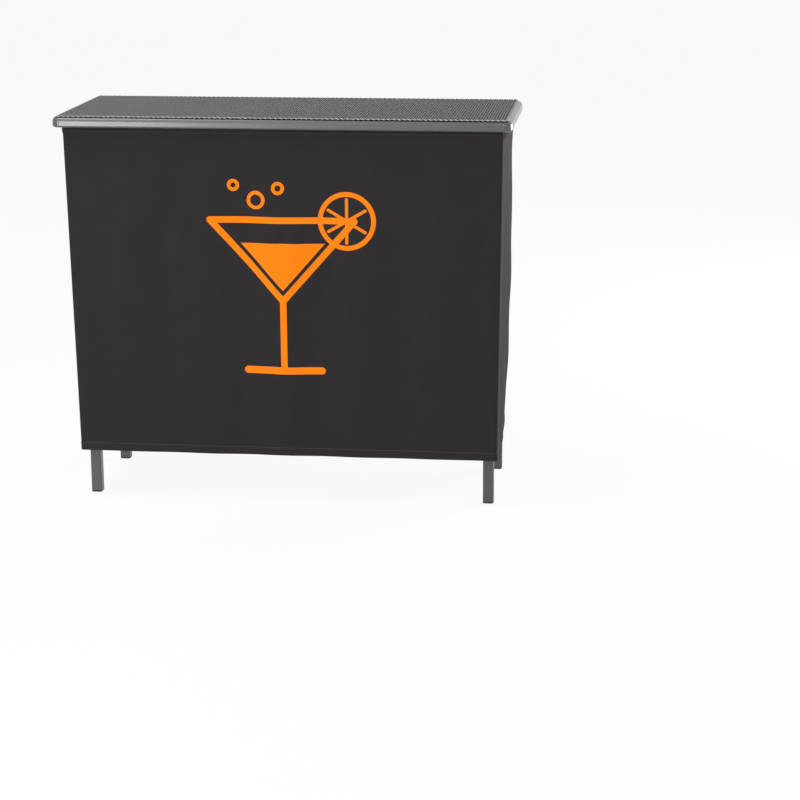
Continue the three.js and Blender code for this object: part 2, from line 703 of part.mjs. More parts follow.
// A wave across a panel that dies out at its two edges and at the tape, and almost dies out at the doubled hem.
function foldWave(across, free, folds) {
  const swell = Math.sin(Math.PI * free * FOLD_REACH);
  return swell * Math.sin(2 * Math.PI * folds * across) * Math.sin(Math.PI * across);
}

function buildSkirt() {
  const skirt = addGroup(bar);
  const tapeBottom = strapTop - TAPE_HEIGHT;
  const tapeZ = [tapeBottom, strapTop];
  const tapeRear = halfDepth - SKIRT_REAR_GAP;
  const tapeX = halfLength - tapeInset;
  const tapeY = halfDepth - tapeInset;
  const frontTapeX = tapeX - TAPE - FIT;
  addPiece(skirt, "hook_tape_front", block([-frontTapeX, frontTapeX], [-tapeY, TAPE - tapeY], tapeZ), "tape");

  const drop = tapeBottom - SKIRT_BOTTOM_Z;
  const freeRows = Array.from({ length: CLOTH_ROWS + 1 }, (_, row) => tapeBottom - (drop * row) / CLOTH_ROWS);
  const levels = [strapTop - SKIRT_TOP_DROP, ...freeRows];
  const freeOf = (z) => Math.max(0, (tapeBottom - z) / drop);
  const sideFace = (free) => halfLength - CLOTH_INSET - SKIRT_SIDE_LEAN * free;
  const frontPlace = (across, z, out) => {
    const free = freeOf(z);
    const x = (2 * across - 1) * (sideFace(free) - CLOTH - 2 * FIT);
    const fold = FOLD_DEPTH * foldWave(across, free, FRONT_FOLDS);
    const y = CLOTH_INSET + CLOTH - halfDepth + SKIRT_FRONT_LEAN * free + fold;
    return new THREE.Vector3(x, y - out, z);
  };
  const front = loft(clothPanel(FRONT_COLUMNS, levels, frontPlace), ({ y, z }) => new THREE.Vector2(y, z));
  addPiece(skirt, "skirt_front", front, "cloth");

  for (const side of SIDES) {
    const sidePlace = (across, z, out) => {
      const free = freeOf(z);
      const frontY = CLOTH_INSET - halfDepth + SKIRT_FRONT_LEAN * free;
      const y = frontY + (tapeRear - frontY) * across;
      const fold = SIDE_FOLD_DEPTH * foldWave(across, free, SIDE_FOLDS);
      return new THREE.Vector3(side.sign * (sideFace(free) - CLOTH + fold + out), y, z);
    };
    const panel = loft(clothPanel(SIDE_COLUMNS, levels, sidePlace), ({ x, z }) => new THREE.Vector2(x, z));
    addPiece(skirt, `skirt_${side.name}`, panel, "cloth");
    const tapeEnds = [side.sign * (tapeX - TAPE), side.sign * tapeX];
    addPiece(skirt, `hook_tape_${side.name}`, block(tapeEnds, [-tapeY, tapeRear], tapeZ), "tape");
  }
}

buildTop();
buildBraces();
buildFrames();
buildShelf();
buildSkirt();

export default bar;
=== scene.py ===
"""Folding portable bar: the looks of its steel, mesh, zinc and cloth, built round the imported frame."""

import logging
import math
from collections.abc import Callable, Sequence
from dataclasses import dataclass, field
from enum import Enum

import bmesh
import bpy
from bpy.types import Material, Node, NodeOutputs, NodeSocket, NodeTree, Object
from mathutils import Matrix, Vector, noise


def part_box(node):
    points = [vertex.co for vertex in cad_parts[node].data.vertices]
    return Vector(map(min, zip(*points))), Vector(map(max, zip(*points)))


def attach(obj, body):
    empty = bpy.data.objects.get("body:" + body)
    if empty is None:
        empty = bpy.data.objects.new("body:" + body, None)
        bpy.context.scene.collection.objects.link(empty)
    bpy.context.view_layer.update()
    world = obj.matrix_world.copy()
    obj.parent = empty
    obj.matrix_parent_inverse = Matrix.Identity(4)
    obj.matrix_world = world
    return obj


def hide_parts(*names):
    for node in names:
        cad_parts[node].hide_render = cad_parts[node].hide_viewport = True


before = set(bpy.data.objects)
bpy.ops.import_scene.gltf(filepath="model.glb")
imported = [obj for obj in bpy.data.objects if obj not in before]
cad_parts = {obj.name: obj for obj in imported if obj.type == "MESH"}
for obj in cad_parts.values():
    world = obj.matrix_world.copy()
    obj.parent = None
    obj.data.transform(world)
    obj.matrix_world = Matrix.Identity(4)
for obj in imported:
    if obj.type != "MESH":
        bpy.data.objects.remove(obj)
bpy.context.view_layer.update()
LOG = logging.getLogger("bar")
MM = 0.001
Spot = tuple[float, float]
Point = tuple[float, float, float]
Ring = list[Point]
Faces = list[list[int]]


class Side(Enum):
    """The two ends of the counter, as the customer sees them."""

    LEFT = -1
    RIGHT = 1


class Row(Enum):
    """The two rows of legs: the customer's and the operator's."""

    FRONT = -1
    REAR = 1


class Stretch(Enum):
    """The stretches of the skirt, from its left rear edge round to its right rear edge."""

    LEFT = (-1, False)
    LEFT_BEND = (-1, True)
    FRONT = (0, False)
    RIGHT_BEND = (1, True)
    RIGHT = (1, False)

    def __init__(self, sign: int, bent: bool) -> None:
        """Keep the sign of the side and whether the stretch goes round a corner."""
        self.sign = sign
        self.bent = bent


# Shared helpers


def linear(code: str) -> tuple[float, float, float, float]:
    """Turn an sRGB hex colour into linear light.

    Args:
        code: Six hex digits, with or without a leading hash.

    Returns:
        Linear red, green and blue, and an alpha of one.
    """
    digits = code.lstrip("#")
    parts = [int(digits[i : i + 2], 16) / 255 for i in (0, 2, 4)]
    red, green, blue = (c / 12.92 if c <= 0.04045 else ((c + 0.055) / 1.055) ** 2.4 for c in parts)
    return (red, green, blue, 1.0)


def feed(tree: NodeTree, node: Node, inputs: dict) -> None:
    """Set or link a node's inputs.

    Args:
        tree: The node tree that holds the node.
        node: The node.
        inputs: Values or output sockets, keyed by the input's name or number.
    """
    for key, value in inputs.items():
        if isinstance(value, NodeSocket):
            tree.links.new(value, node.inputs[key])
        else:
            node.inputs[key].default_value = value


def add_node(tree: NodeTree, kind: str, inputs: dict | None = None, **settings: object) -> NodeOutputs:
    """Add a node with its settings and links.

    Args:
        tree: The node tree that takes the node.
        kind: Blender's name for the node's type, without the ShaderNode that it starts with.
        inputs: Values or output sockets, keyed by the input's name or number.
        settings: The node's own properties.

    Returns:
        The new node's outputs.
    """
    made = tree.nodes.new("ShaderNode" + kind)
    for name, value in settings.items():
        setattr(made, name, value)
    feed(tree, made, inputs or {})
    return made.outputs


def new_material(name: str) -> tuple[Material, NodeTree, Node]:
    """Start a node material.

    Args:
        name: The material's name.

    Returns:
        The material, its node tree and its shader.
    """
    material = bpy.data.materials.new(name)
    material.use_nodes = True
    return material, material.node_tree, material.node_tree.nodes["Principled BSDF"]


def add_mesh(name: str, points: Sequence[Point], faces: Faces, crease: float = 40) -> Object:
    """Make a mesh object from points in metres.

    Args:
        name: The piece's name.
        points: Corner points, in metres.
        faces: Point numbers of each face, turning outwards.
        crease: Edges that turn by more than this angle stay sharp, in degrees.

    Returns:
        The new object, linked to the scene.
    """
    mesh = bpy.data.meshes.new(name)
    mesh.from_pydata(points, [], faces)
    mesh.validate()
    mesh.shade_smooth()
    mesh.set_sharp_from_angle(angle=math.radians(crease))
    piece = bpy.data.objects.new(name, mesh)
    bpy.context.scene.collection.objects.link(piece)
    return piece


def loft(name: str, stacks: Sequence[list[Ring]], crease: float, closed: bool = False) -> Object:
    """Make a solid piece by joining rings of points, each to the next.

    Args:
        name: The piece's name.
        stacks: Stacks of rings. The rings of a stack all have the same count of points.
        crease: Edges that turn by more than this angle stay sharp, in degrees.
        closed: Whether a stack's last ring joins its first one. If not, both are capped.

    Returns:
        The new piece, with its faces turned outwards.
    """
    points: list[Point] = []
    faces: Faces = []
    for rings in stacks:
        base, count, size = len(points), len(rings), len(rings[0])
        points += [point for ring in rings for point in ring]
        for k in range(count if closed else count - 1):
            a, b = base + k * size, base + (k + 1) % count * size
            faces += [[a + i, a + (i + 1) % size, b + (i + 1) % size, b + i] for i in range(size)]
        if not closed:
            faces += [[end + i for i in range(size)] for end in (base, base + (count - 1) * size)]
    piece = add_mesh(name, points, faces)
    shape = bmesh.new()
    shape.from_mesh(piece.data)
    bmesh.ops.recalc_face_normals(shape, faces=shape.faces)
    shape.to_mesh(piece.data)
    shape.free()
    piece.data.set_sharp_from_angle(angle=math.radians(crease))
    return piece


def dress(piece: Object, material: Material) -> None:
    """Give a piece one material."""
    piece.data.materials.clear()
    piece.data.materials.append(material)


def settle(piece: Object, body: str, slot: str, material: Material, *nodes: str) -> Object:
    """Dress a new piece and tie it to the frame.

    Args:
        piece: The new piece.
        body: The body that carries it.
        slot: The material slot of its finish; not used.
        material: Its material.
        nodes: CAD nodes that it stands for.

    Returns:
        The same piece.
    """
    dress(piece, material)
    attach(piece, body)
    if nodes:
        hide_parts(*nodes)
    LOG.info("%s rides on %s", piece.name, body)
    return piece


def smooth_step(value: float, low: float, high: float) -> float:
    """Ease from 0 at low to 1 at high."""
    part = min(1.0, max(0.0, (value - low) / (high - low)))
    return part * part * (3 - 2 * part)


# Finishes


@dataclass(frozen=True)
class PowderCoat:
    """Polyester powder coat on steel: charcoal, sprayed and baked, with a satin skin of faint orange peel."""

    name: str
    colour: str
    tint: str
    roughness: float = 0.4
    satin: Spot = (-0.05, 0.06)  # how far the roughness strays
    peel_mm: float = 2.4  # real peel is about 1 mm; drawn coarser to show
    peel_depth_mm: float = 0.1
    peel_strength: float = 0.12
    cloud_mm: float = 140
    edge_mm: float = 0.8
    gloss: float = 0.5
    ior: float = 1.52
    painted_shade_above_mm: float = math.inf  # painted shade over this height, where another piece covers the coat
    painted_shade_fade_mm: float = 0.4
    painted_shade: str = "#121111"

    def build(self) -> Material:
        """Make the material. The eye sees a soft sheen, small edge highlights and slightly uneven grey.

        Returns:
            The material.
        """
        material, tree, shader = new_material(self.name)
        place = add_node(tree, "TexCoord")["Object"]
        clouds = {"Vector": place, "Scale": 1 / (self.cloud_mm * MM), "Detail": 3.0}
        cloud = add_node(tree, "TexNoise", clouds)[0]
        skin = {"Vector": place, "Scale": 1 / (self.peel_mm * MM), "Detail": 2.0}
        peel = add_node(tree, "TexNoise", skin)[0]
        rounded = add_node(tree, "Bevel", {"Radius": self.edge_mm * MM}, samples=4)[0]
        relief = {"Strength": self.peel_strength, "Distance": self.peel_depth_mm * MM, "Height": peel}
        bump = add_node(tree, "Bump", {**relief, "Normal": rounded})[0]
        uneven = {0: cloud, 6: linear(self.colour), 7: linear(self.tint)}
        grey = add_node(tree, "Mix", uneven, data_type="RGBA")[2]
        low, high = (self.roughness + stray for stray in self.satin)
        rough = add_node(tree, "MapRange", {"Value": cloud, "To Min": low, "To Max": high})[0]
        feed(tree, shader, {"Metallic": 0.0, "IOR": self.ior, "Specular IOR Level": self.gloss})
        # Painted shade: above the given height the grey darkens and the gloss fades, under the piece that
        # covers it.
        if math.isfinite(self.painted_shade_above_mm):
            height = add_node(tree, "SeparateXYZ", {0: place})[2]
            low, high = self.painted_shade_above_mm * MM, (self.painted_shade_above_mm + self.painted_shade_fade_mm) * MM
            edge = {"Value": height, "From Min": low, "From Max": high}
            painted_shade_mask = add_node(tree, "MapRange", edge)[0]
            wear_and_painted_light = {0: painted_shade_mask, 6: grey, 7: linear(self.painted_shade)}
            grey = add_node(tree, "Mix", wear_and_painted_light, data_type="RGBA")[2]
            fade = {"Value": painted_shade_mask, "To Min": self.gloss, "To Max": 0.0}
            feed(tree, shader, {"Specular IOR Level": add_node(tree, "MapRange", fade)[0]})
        feed(tree, shader, {"Base Color": grey, "Roughness": rough, "Normal": bump})
        return material


@dataclass(frozen=True)
class ZincPlate:
    """Bright zinc plate on pressed mild steel: cool silver with a fine cloudy grain, dull scuffed patches and
    a painted highlight on its edges.
    """

    name: str = "zinc_plated_steel"
    colour: str = "#929896"
    dull: str = "#6a706f"
    roughness: float = 0.35
    shine: Spot = (-0.08, 0.16)  # how far the roughness strays
    grain_mm: float = 7
    rub_mm: float = 26
    # the colour of the painted highlight on the edges
    edge: str = "#dfe3e1"
    edge_mm: float = 1.6
    edge_bend: Spot = (0.995, 0.85)  # cosines at which the painted highlight on an edge starts and is full
    edge_share: float = 0.8
    round_mm: float = 0.5

    def build(self) -> Material:
        """Make the material. The eye sees a cool metal with a painted highlight on its edges, dull in
        blotches.

        Returns:
            The material.
        """
        material, tree, shader = new_material(self.name)
        place = add_node(tree, "TexCoord")["Object"]
        crystals = {"Vector": place, "Scale": 1 / (self.grain_mm * MM)}
        grain = add_node(tree, "TexVoronoi", crystals)[0]
        patches = {"Vector": place, "Scale": 1 / (self.rub_mm * MM), "Detail": 4.0}
        rub = add_node(tree, "TexNoise", patches)[0]
        both = add_node(tree, "Math", {0: grain, 1: rub}, operation="MULTIPLY")[0]
        blotched = {0: both, 6: linear(self.colour), 7: linear(self.dull)}
        silver = add_node(tree, "Mix", blotched, data_type="RGBA")[2]
        # Painted highlight: where the wide bevel bends the normal, at the edges, the silver turns pale.
        wide = add_node(tree, "Bevel", {"Radius": self.edge_mm * MM}, samples=6)[0]
        true = add_node(tree, "NewGeometry")["True Normal"]
        facing = add_node(tree, "VectorMath", {0: wide, 1: true}, operation="DOT_PRODUCT")[1]
        start, full = self.edge_bend
        bent = {"Value": facing, "From Min": start, "From Max": full, "To Max": self.edge_share}
        painted_highlight = add_node(tree, "MapRange", bent)[0]
        wear_and_painted_light = {0: painted_highlight, 6: silver, 7: linear(self.edge)}
        silver = add_node(tree, "Mix", wear_and_painted_light, data_type="RGBA")[2]
        low, high = (self.roughness + stray for stray in self.shine)
        rough = add_node(tree, "MapRange", {"Value": rub, "To Min": low, "To Max": high})[0]
        rounded = add_node(tree, "Bevel", {"Radius": self.round_mm * MM}, samples=4)[0]
        feed(tree, shader, {"Base Color": silver, "Roughness": rough, "Normal": rounded, "Metallic": 1.0})
        return material


@dataclass(frozen=True)
class MouldedPlastic:
    """Black polyethylene, injection moulded: matt, with a fine spark-eroded grain."""

    name: str = "moulded_black_polyethylene"
    colour: str = "#2a2a2b"
    scuff: str = "#4a4949"
    roughness: float = 0.58
    ior: float = 1.51
    grain_mm: float = 1.2
    grain_depth_mm: float = 0.1
    grain_strength: float = 0.2
    scuff_mm: float = 9
    scuff_levels: Spot = (0.55, 0.8)  # noise at which a scuff starts and is full
    edge_mm: float = 0.7

    def build(self) -> Material:
        """Make the material. The eye sees matt black with paler scuffs where it rubs on floors.

        Returns:
            The material.
        """
        material, tree, shader = new_material(self.name)
        place = add_node(tree, "TexCoord")["Object"]
        sparks = {"Vector": place, "Scale": 1 / (self.grain_mm * MM)}
        grain = add_node(tree, "TexNoise", sparks)[0]
        rubs = {"Vector": place, "Scale": 1 / (self.scuff_mm * MM), "Detail": 5.0}
        scuffs = add_node(tree, "TexNoise", rubs)[0]
        start, full = self.scuff_levels
        wear_and_painted_light = add_node(tree, "MapRange", {"Value": scuffs, "From Min": start, "From Max": full})[0]
        scuffed = {0: wear_and_painted_light, 6: linear(self.colour), 7: linear(self.scuff)}
        black = add_node(tree, "Mix", scuffed, data_type="RGBA")[2]
        rounded = add_node(tree, "Bevel", {"Radius": self.edge_mm * MM}, samples=4)[0]
        relief = {"Strength": self.grain_strength, "Distance": self.grain_depth_mm * MM, "Height": grain}
        bump = add_node(tree, "Bump", {**relief, "Normal": rounded})[0]
        feed(tree, shader, {"Base Color": black, "Normal": bump})
        feed(tree, shader, {"Roughness": self.roughness, "IOR": self.ior})
        return material


@dataclass(frozen=True)
class HookTape:
    """Nylon hook-and-loop tape, woven with moulded hooks: near-black, dull, with a tight nap."""

    name: str = "nylon_hook_and_loop_tape"
    colour: str = "#161516"
    nap: str = "#2b2a2b"
    nap_mm: float = 1.6
    nap_depth_mm: float = 0.4
    nap_strength: float = 0.6
    roughness: float = 0.95
    sheen: float = 0.15

    def build(self) -> Material:
        """Make the material. The eye sees a dull black band with a fuzzy, speckled surface.

        Returns:
            The material.
        """
        material, tree, shader = new_material(self.name)
        place = add_node(tree, "TexCoord")["Object"]
        tufts = {"Vector": place, "Scale": 1 / (self.nap_mm * MM)}
        loops = add_node(tree, "TexVoronoi", tufts)[0]
        speckled = {0: loops, 6: linear(self.colour), 7: linear(self.nap)}
        black = add_node(tree, "Mix", speckled, data_type="RGBA")[2]
        relief = {"Strength": self.nap_strength, "Distance": self.nap_depth_mm * MM, "Height": loops}
        bump = add_node(tree, "Bump", relief)[0]
        feed(tree, shader, {"Base Color": black, "Normal": bump})
        feed(tree, shader, {"Roughness": self.roughness, "Sheen Weight": self.sheen})
        return material


class Ink(Enum):
    """The kinds of mark in the screen print."""

    STROKE = "stroke"
    RING = "ring"
    FILL = "fill"


@dataclass(frozen=True)
class Mark:
    """One mark of the screen print, in millimetres across the panel's middle and up from its hem.

    A stroke runs from its first point to its last with round ends. A ring goes round its only point. A fill
    covers the convex shape inside its points, which turn to the left.
    """

    kind: Ink
    points: tuple[Spot, ...]
    weight: float
    radius: float = 0


@dataclass(frozen=True)
class Crease:
    """A crease pressed into the skirt by folding it: its middle, half length, lean, depth and width."""

    across: float
    height: float
    half: float
    lean: float
    depth: float
    width: float = 12 * MM
    swell_off: float = 2.2  # shares of the width: how far off the swelling beside it is, and how wide
    swell_width: float = 1.7
    swell_share: float = 0.5
    fade_from: float = 0.3

    def depth_at(self, x: float, z: float) -> float:
        """Work out how deep the crease is at a place on the front panel, with the swelling beside it.

        Args:
            x: The place across the panel.
            z: The place's height.

        Returns:
            The depth, negative where the cloth stands out.
        """
        angle = math.radians(self.lean)
        dx, dz = x - self.across, z - self.height
        along = dz * math.cos(angle) + dx * math.sin(angle)
        off = dx * math.cos(angle) - dz * math.sin(angle)
        fade = 1 - smooth_step(abs(along), self.half * self.fade_from, self.half)
        valley = math.exp(-((off / self.width) ** 2))
        swelling = math.exp(-(((off - self.swell_off * self.width) / (self.swell_width * self.width)) ** 2))
        return self.depth * fade * (valley - self.swell_share * swelling)

    def ends(self, hem: float) -> tuple[Spot, Spot]:
        """Find the crease's two ends in millimetres across the panel's middle and up from its hem.

        Args:
            hem: The hem's height.

        Returns:
            The lower end and the upper end.
        """
        angle = math.radians(self.lean)
        reach_x, reach_z = self.half * math.sin(angle), self.half * math.cos(angle)
        x, up = self.across, self.height - hem
        return ((x - reach_x) / MM, (up - reach_z) / MM), ((x + reach_x) / MM, (up + reach_z) / MM)


@dataclass(frozen=True)
class WovenPolyester:
    """Black polyester, plain woven: a calendered face that takes a flat orange print, and a creased back."""

    name: str
    colour: str
    slub: str
    wrinkle_mm: float
    marks: tuple[Mark, ...] = ()
    creases: tuple[Mark, ...] = ()
    wrinkle_size_mm: Spot = (120, 420)  # across and up, so that wrinkles run upright
    # the colour of the painted highlight on the crease ridges
    painted_highlight: str = "#3a3739"
    crease_mm: float = 17
    crease_depth_mm: float = 9
    crease_wander_mm: float = 34
    crease_swirl_mm: float = 45
    crease_patch_mm: float = 30
    ink: str = "#ff7f11"
    ink_edge_mm: float = 0.5
    stitch: str = "#454346"
    stitch_mm: float = 5
    stitch_share: float = 0.72
    stitch_half_mm: float = 0.55
    stitch_rise: float = 2.0  # beside the height of a thread
    seams_mm: tuple[float, ...] = (18.5, 759)
    thread_mm: float = 1.4  # real threads are about 0.4 mm; drawn coarser to show
    thread_depth_mm: float = 0.2
    thread_strength: float = 0.22
    cloud_mm: float = 60
    roughness: float = 0.8
    ior: float = 1.45
    gloss: float = 0.08

    def build(self) -> Material:
        """Make the material. The eye sees dull black with a faint thread grain, sewn rows and flat ink.

        Returns:
            The material.
        """
        material, tree, shader = new_material(self.name)
        flat = add_node(tree, "UVMap", uv_map="flat")[0]
        place = add_node(tree, "VectorMath", {0: flat, 3: 1 / MM}, operation="SCALE")[0]
        parts = add_node(tree, "SeparateXYZ", {0: place})
        waves = []
        for axis in (0, 1):
            turn = {0: parts[axis], 1: math.pi / self.thread_mm}
            angle = add_node(tree, "Math", turn, operation="MULTIPLY")[0]
            waves.append(add_node(tree, "Math", {0: angle}, operation="SINE")[0])
        weave = add_node(tree, "Math", {0: waves[0], 1: waves[1]}, operation="MULTIPLY")[0]
        clouds = {"Vector": place, "Scale": 1 / self.cloud_mm, "Detail": 4.0}
        cloud = add_node(tree, "TexNoise", clouds)[0]
        uneven = {0: cloud, 6: linear(self.colour), 7: linear(self.slub)}
        colour = add_node(tree, "Mix", uneven, data_type="RGBA")[2]
        stitches = self._stitches(tree, parts[0], parts[1])
        sewn = {0: stitches, 6: colour, 7: linear(self.stitch)}
        colour = add_node(tree, "Mix", sewn, data_type="RGBA")[2]
        raised = {0: stitches, 1: self.stitch_rise, 2: weave}
        relief = add_node(tree, "Math", raised, operation="MULTIPLY_ADD")[0]
        if self.marks:
            inked = {0: self._printed(tree, place), 6: colour, 7: linear(self.ink)}
            colour = add_node(tree, "Mix", inked, data_type="RGBA")[2]
        across, up = self.wrinkle_size_mm
        squeeze = {0: place, 1: (1 / across, 1 / up, 1.0)}
        upright = add_node(tree, "VectorMath", squeeze, operation="MULTIPLY")[0]
        slack = {"Vector": upright, "Scale": 1.0, "Detail": 1.2}
        wrinkles = add_node(tree, "TexNoise", slack)[0]
        hung = {"Strength": 1.0, "Distance": self.wrinkle_mm * MM, "Height": wrinkles}
        shape = add_node(tree, "Bump", hung)[0]
        if self.creases:
            pressed = self._pressed(tree, place)
            # Painted highlight: the crease ridges turn paler, and the same mask bumps them.
            wear_and_painted_light = {0: pressed, 6: colour, 7: linear(self.painted_highlight)}
            colour = add_node(tree, "Mix", wear_and_painted_light, data_type="RGBA")[2]
            ridge = {"Strength": 1.0, "Distance": self.crease_depth_mm * MM, "Height": pressed}
            shape = add_node(tree, "Bump", {**ridge, "Normal": shape})[0]
        grain = {"Strength": self.thread_strength, "Distance": self.thread_depth_mm * MM, "Height": relief}
        bump = add_node(tree, "Bump", {**grain, "Normal": shape})[0]
        feed(tree, shader, {"Base Color": colour, "Normal": bump})
        feed(tree, shader, {"Roughness": self.roughness, "IOR": self.ior, "Specular IOR Level": self.gloss})
        return material

    def _pressed(self, tree: NodeTree, place: NodeSocket) -> NodeSocket:
        """Draw the pressed creases as wandering lines that fade away from their middles.

        Args:
            tree: The material's node tree.
            place: The flat place in millimetres.

        Returns:
            A mask that is one on a crease's ridge.
        """
        eddies = {"Vector": place, "Scale": 1 / self.crease_swirl_mm, "Detail": 2.0}
        swirl = {0: add_node(tree, "TexNoise", eddies)[1], 1: (0.5, 0.5, 0.5)}
        drift = add_node(tree, "VectorMath", swirl, operation="SUBTRACT")[0]
        wander = {0: drift, 1: (self.crease_wander_mm, self.crease_wander_mm, 0.0), 2: place}
        bent = add_node(tree, "VectorMath", wander, operation="MULTIPLY_ADD")[0]
        lines = []
        for mark in self.creases:
            soft = {"Value": self._stroke(tree, bent, mark), "From Min": 0.0, "From Max": self.crease_mm}
            soft |= {"To Min": mark.weight, "To Max": 0.0}
            lines.append(add_node(tree, "MapRange", soft, interpolation_type="SMOOTHERSTEP")[0])
        deepest, *others = lines
        for line in others:
            deepest = add_node(tree, "Math", {0: deepest, 1: line}, operation="MAXIMUM")[0]
        blots = {"Vector": place, "Scale": 1 / self.crease_patch_mm, "Detail": 1.0}
        patches = add_node(tree, "TexNoise", blots)[0]
        return add_node(tree, "Math", {0: deepest, 1: patches}, operation="MULTIPLY")[0]

    def _stitches(self, tree: NodeTree, across: NodeSocket, up: NodeSocket) -> NodeSocket:
        """Draw the rows of lock stitch along the hem and the header.

        Args:
            tree: The material's node tree.
            across: The flat place across the cloth, in millimetres.
            up: The flat place up from the hem, in millimetres.

        Returns:
            A mask that is one on a stitch.
        """
        step = {0: across, 1: self.stitch_mm}
        along = add_node(tree, "Math", step, operation="FLOORED_MODULO")[0]
        length = {0: along, 1: self.stitch_mm * self.stitch_share}
        dash = add_node(tree, "Math", length, operation="LESS_THAN")[0]
        rows = []
        for level in self.seams_mm:
            near = {0: up, 1: level, 2: self.stitch_half_mm}
            rows.append(add_node(tree, "Math", near, operation="COMPARE")[0])
        sewn, *others = rows
        for row in others:
            sewn = add_node(tree, "Math", {0: sewn, 1: row}, operation="ADD")[0]
        return add_node(tree, "Math", {0: sewn, 1: dash}, operation="MULTIPLY")[0]

    def _printed(self, tree: NodeTree, place: NodeSocket) -> NodeSocket:
        """Draw the screen print.

        Args:
            tree: The material's node tree.
            place: The flat place in millimetres.

        Returns:
            A mask that is one where there is ink.
        """
        reaches = {Ink.STROKE: self._stroke, Ink.RING: self._ring, Ink.FILL: self._fill}
        nearest, *others = [reaches[mark.kind](tree, place, mark) for mark in self.marks]
        for reach in others:
            nearest = add_node(tree, "Math", {0: nearest, 1: reach}, operation="MINIMUM")[0]
        soft = {"Value": nearest, "From Min": self.ink_edge_mm, "From Max": -self.ink_edge_mm}
        return add_node(tree, "MapRange", soft)[0]

    def _stroke(self, tree: NodeTree, place: NodeSocket, mark: Mark) -> NodeSocket:
        """Measure how far a place lies outside a stroke.

        Args:
            tree: The material's node tree.
            place: The flat place in millimetres.
            mark: The stroke.

        Returns:
            The distance in millimetres, negative inside.
        """
        run = Vector(mark.points[-1]) - Vector(mark.points[0])
        start = (*mark.points[0], 0.0)
        offset = add_node(tree, "VectorMath", {0: place, 1: start}, operation="SUBTRACT")[0]
        unit = (*(run / run.length_squared), 0.0)
        along = add_node(tree, "VectorMath", {0: offset, 1: unit}, operation="DOT_PRODUCT")[1]
        held = add_node(tree, "Clamp", {0: along})[0]
        back = add_node(tree, "VectorMath", {0: (*run, 0.0), 3: held}, operation="SCALE")[0]
        away = add_node(tree, "VectorMath", {0: offset, 1: back}, operation="SUBTRACT")[0]
        length = add_node(tree, "VectorMath", {0: away}, operation="LENGTH")[1]
        return add_node(tree, "Math", {0: length, 1: mark.weight / 2}, operation="SUBTRACT")[0]

    def _ring(self, tree: NodeTree, place: NodeSocket, mark: Mark) -> NodeSocket:
        """Measure how far a place lies outside a ring.

        Args:
            tree: The material's node tree.
            place: The flat place in millimetres.
            mark: The ring.

        Returns:
            The distance in millimetres, negative inside.
        """
        ends = {0: place, 1: (*mark.points[0], 0.0)}
        length = add_node(tree, "VectorMath", ends, operation="DISTANCE")[1]
        off = add_node(tree, "Math", {0: length, 1: mark.radius}, operation="SUBTRACT")[0]
        size = add_node(tree, "Math", {0: off}, operation="ABSOLUTE")[0]
        return add_node(tree, "Math", {0: size, 1: mark.weight / 2}, operation="SUBTRACT")[0]

    def _fill(self, tree: NodeTree, place: NodeSocket, mark: Mark) -> NodeSocket:
        """Measure how far a place lies outside a filled convex shape.

        Args:
            tree: The material's node tree.
            place: The flat place in millimetres.
            mark: The shape.

        Returns:
            The distance in millimetres, negative inside.
        """
        reaches = []
        for first, second in zip(mark.points, mark.points[1:] + mark.points[:1], strict=True):
            run = (Vector(second) - Vector(first)).normalized()
            away = {0: place, 1: (run.y, -run.x, 0.0)}
            along = add_node(tree, "VectorMath", away, operation="DOT_PRODUCT")[1]
            edge = {0: along, 1: run.y * first[0] - run.x * first[1]}
            reaches.append(add_node(tree, "Math", edge, operation="SUBTRACT")[0])
        farthest, *others = reaches
        for reach in others:
            farthest = add_node(tree, "Math", {0: farthest, 1: reach}, operation="MAXIMUM")[0]
        return farthest


# Sub-assemblies


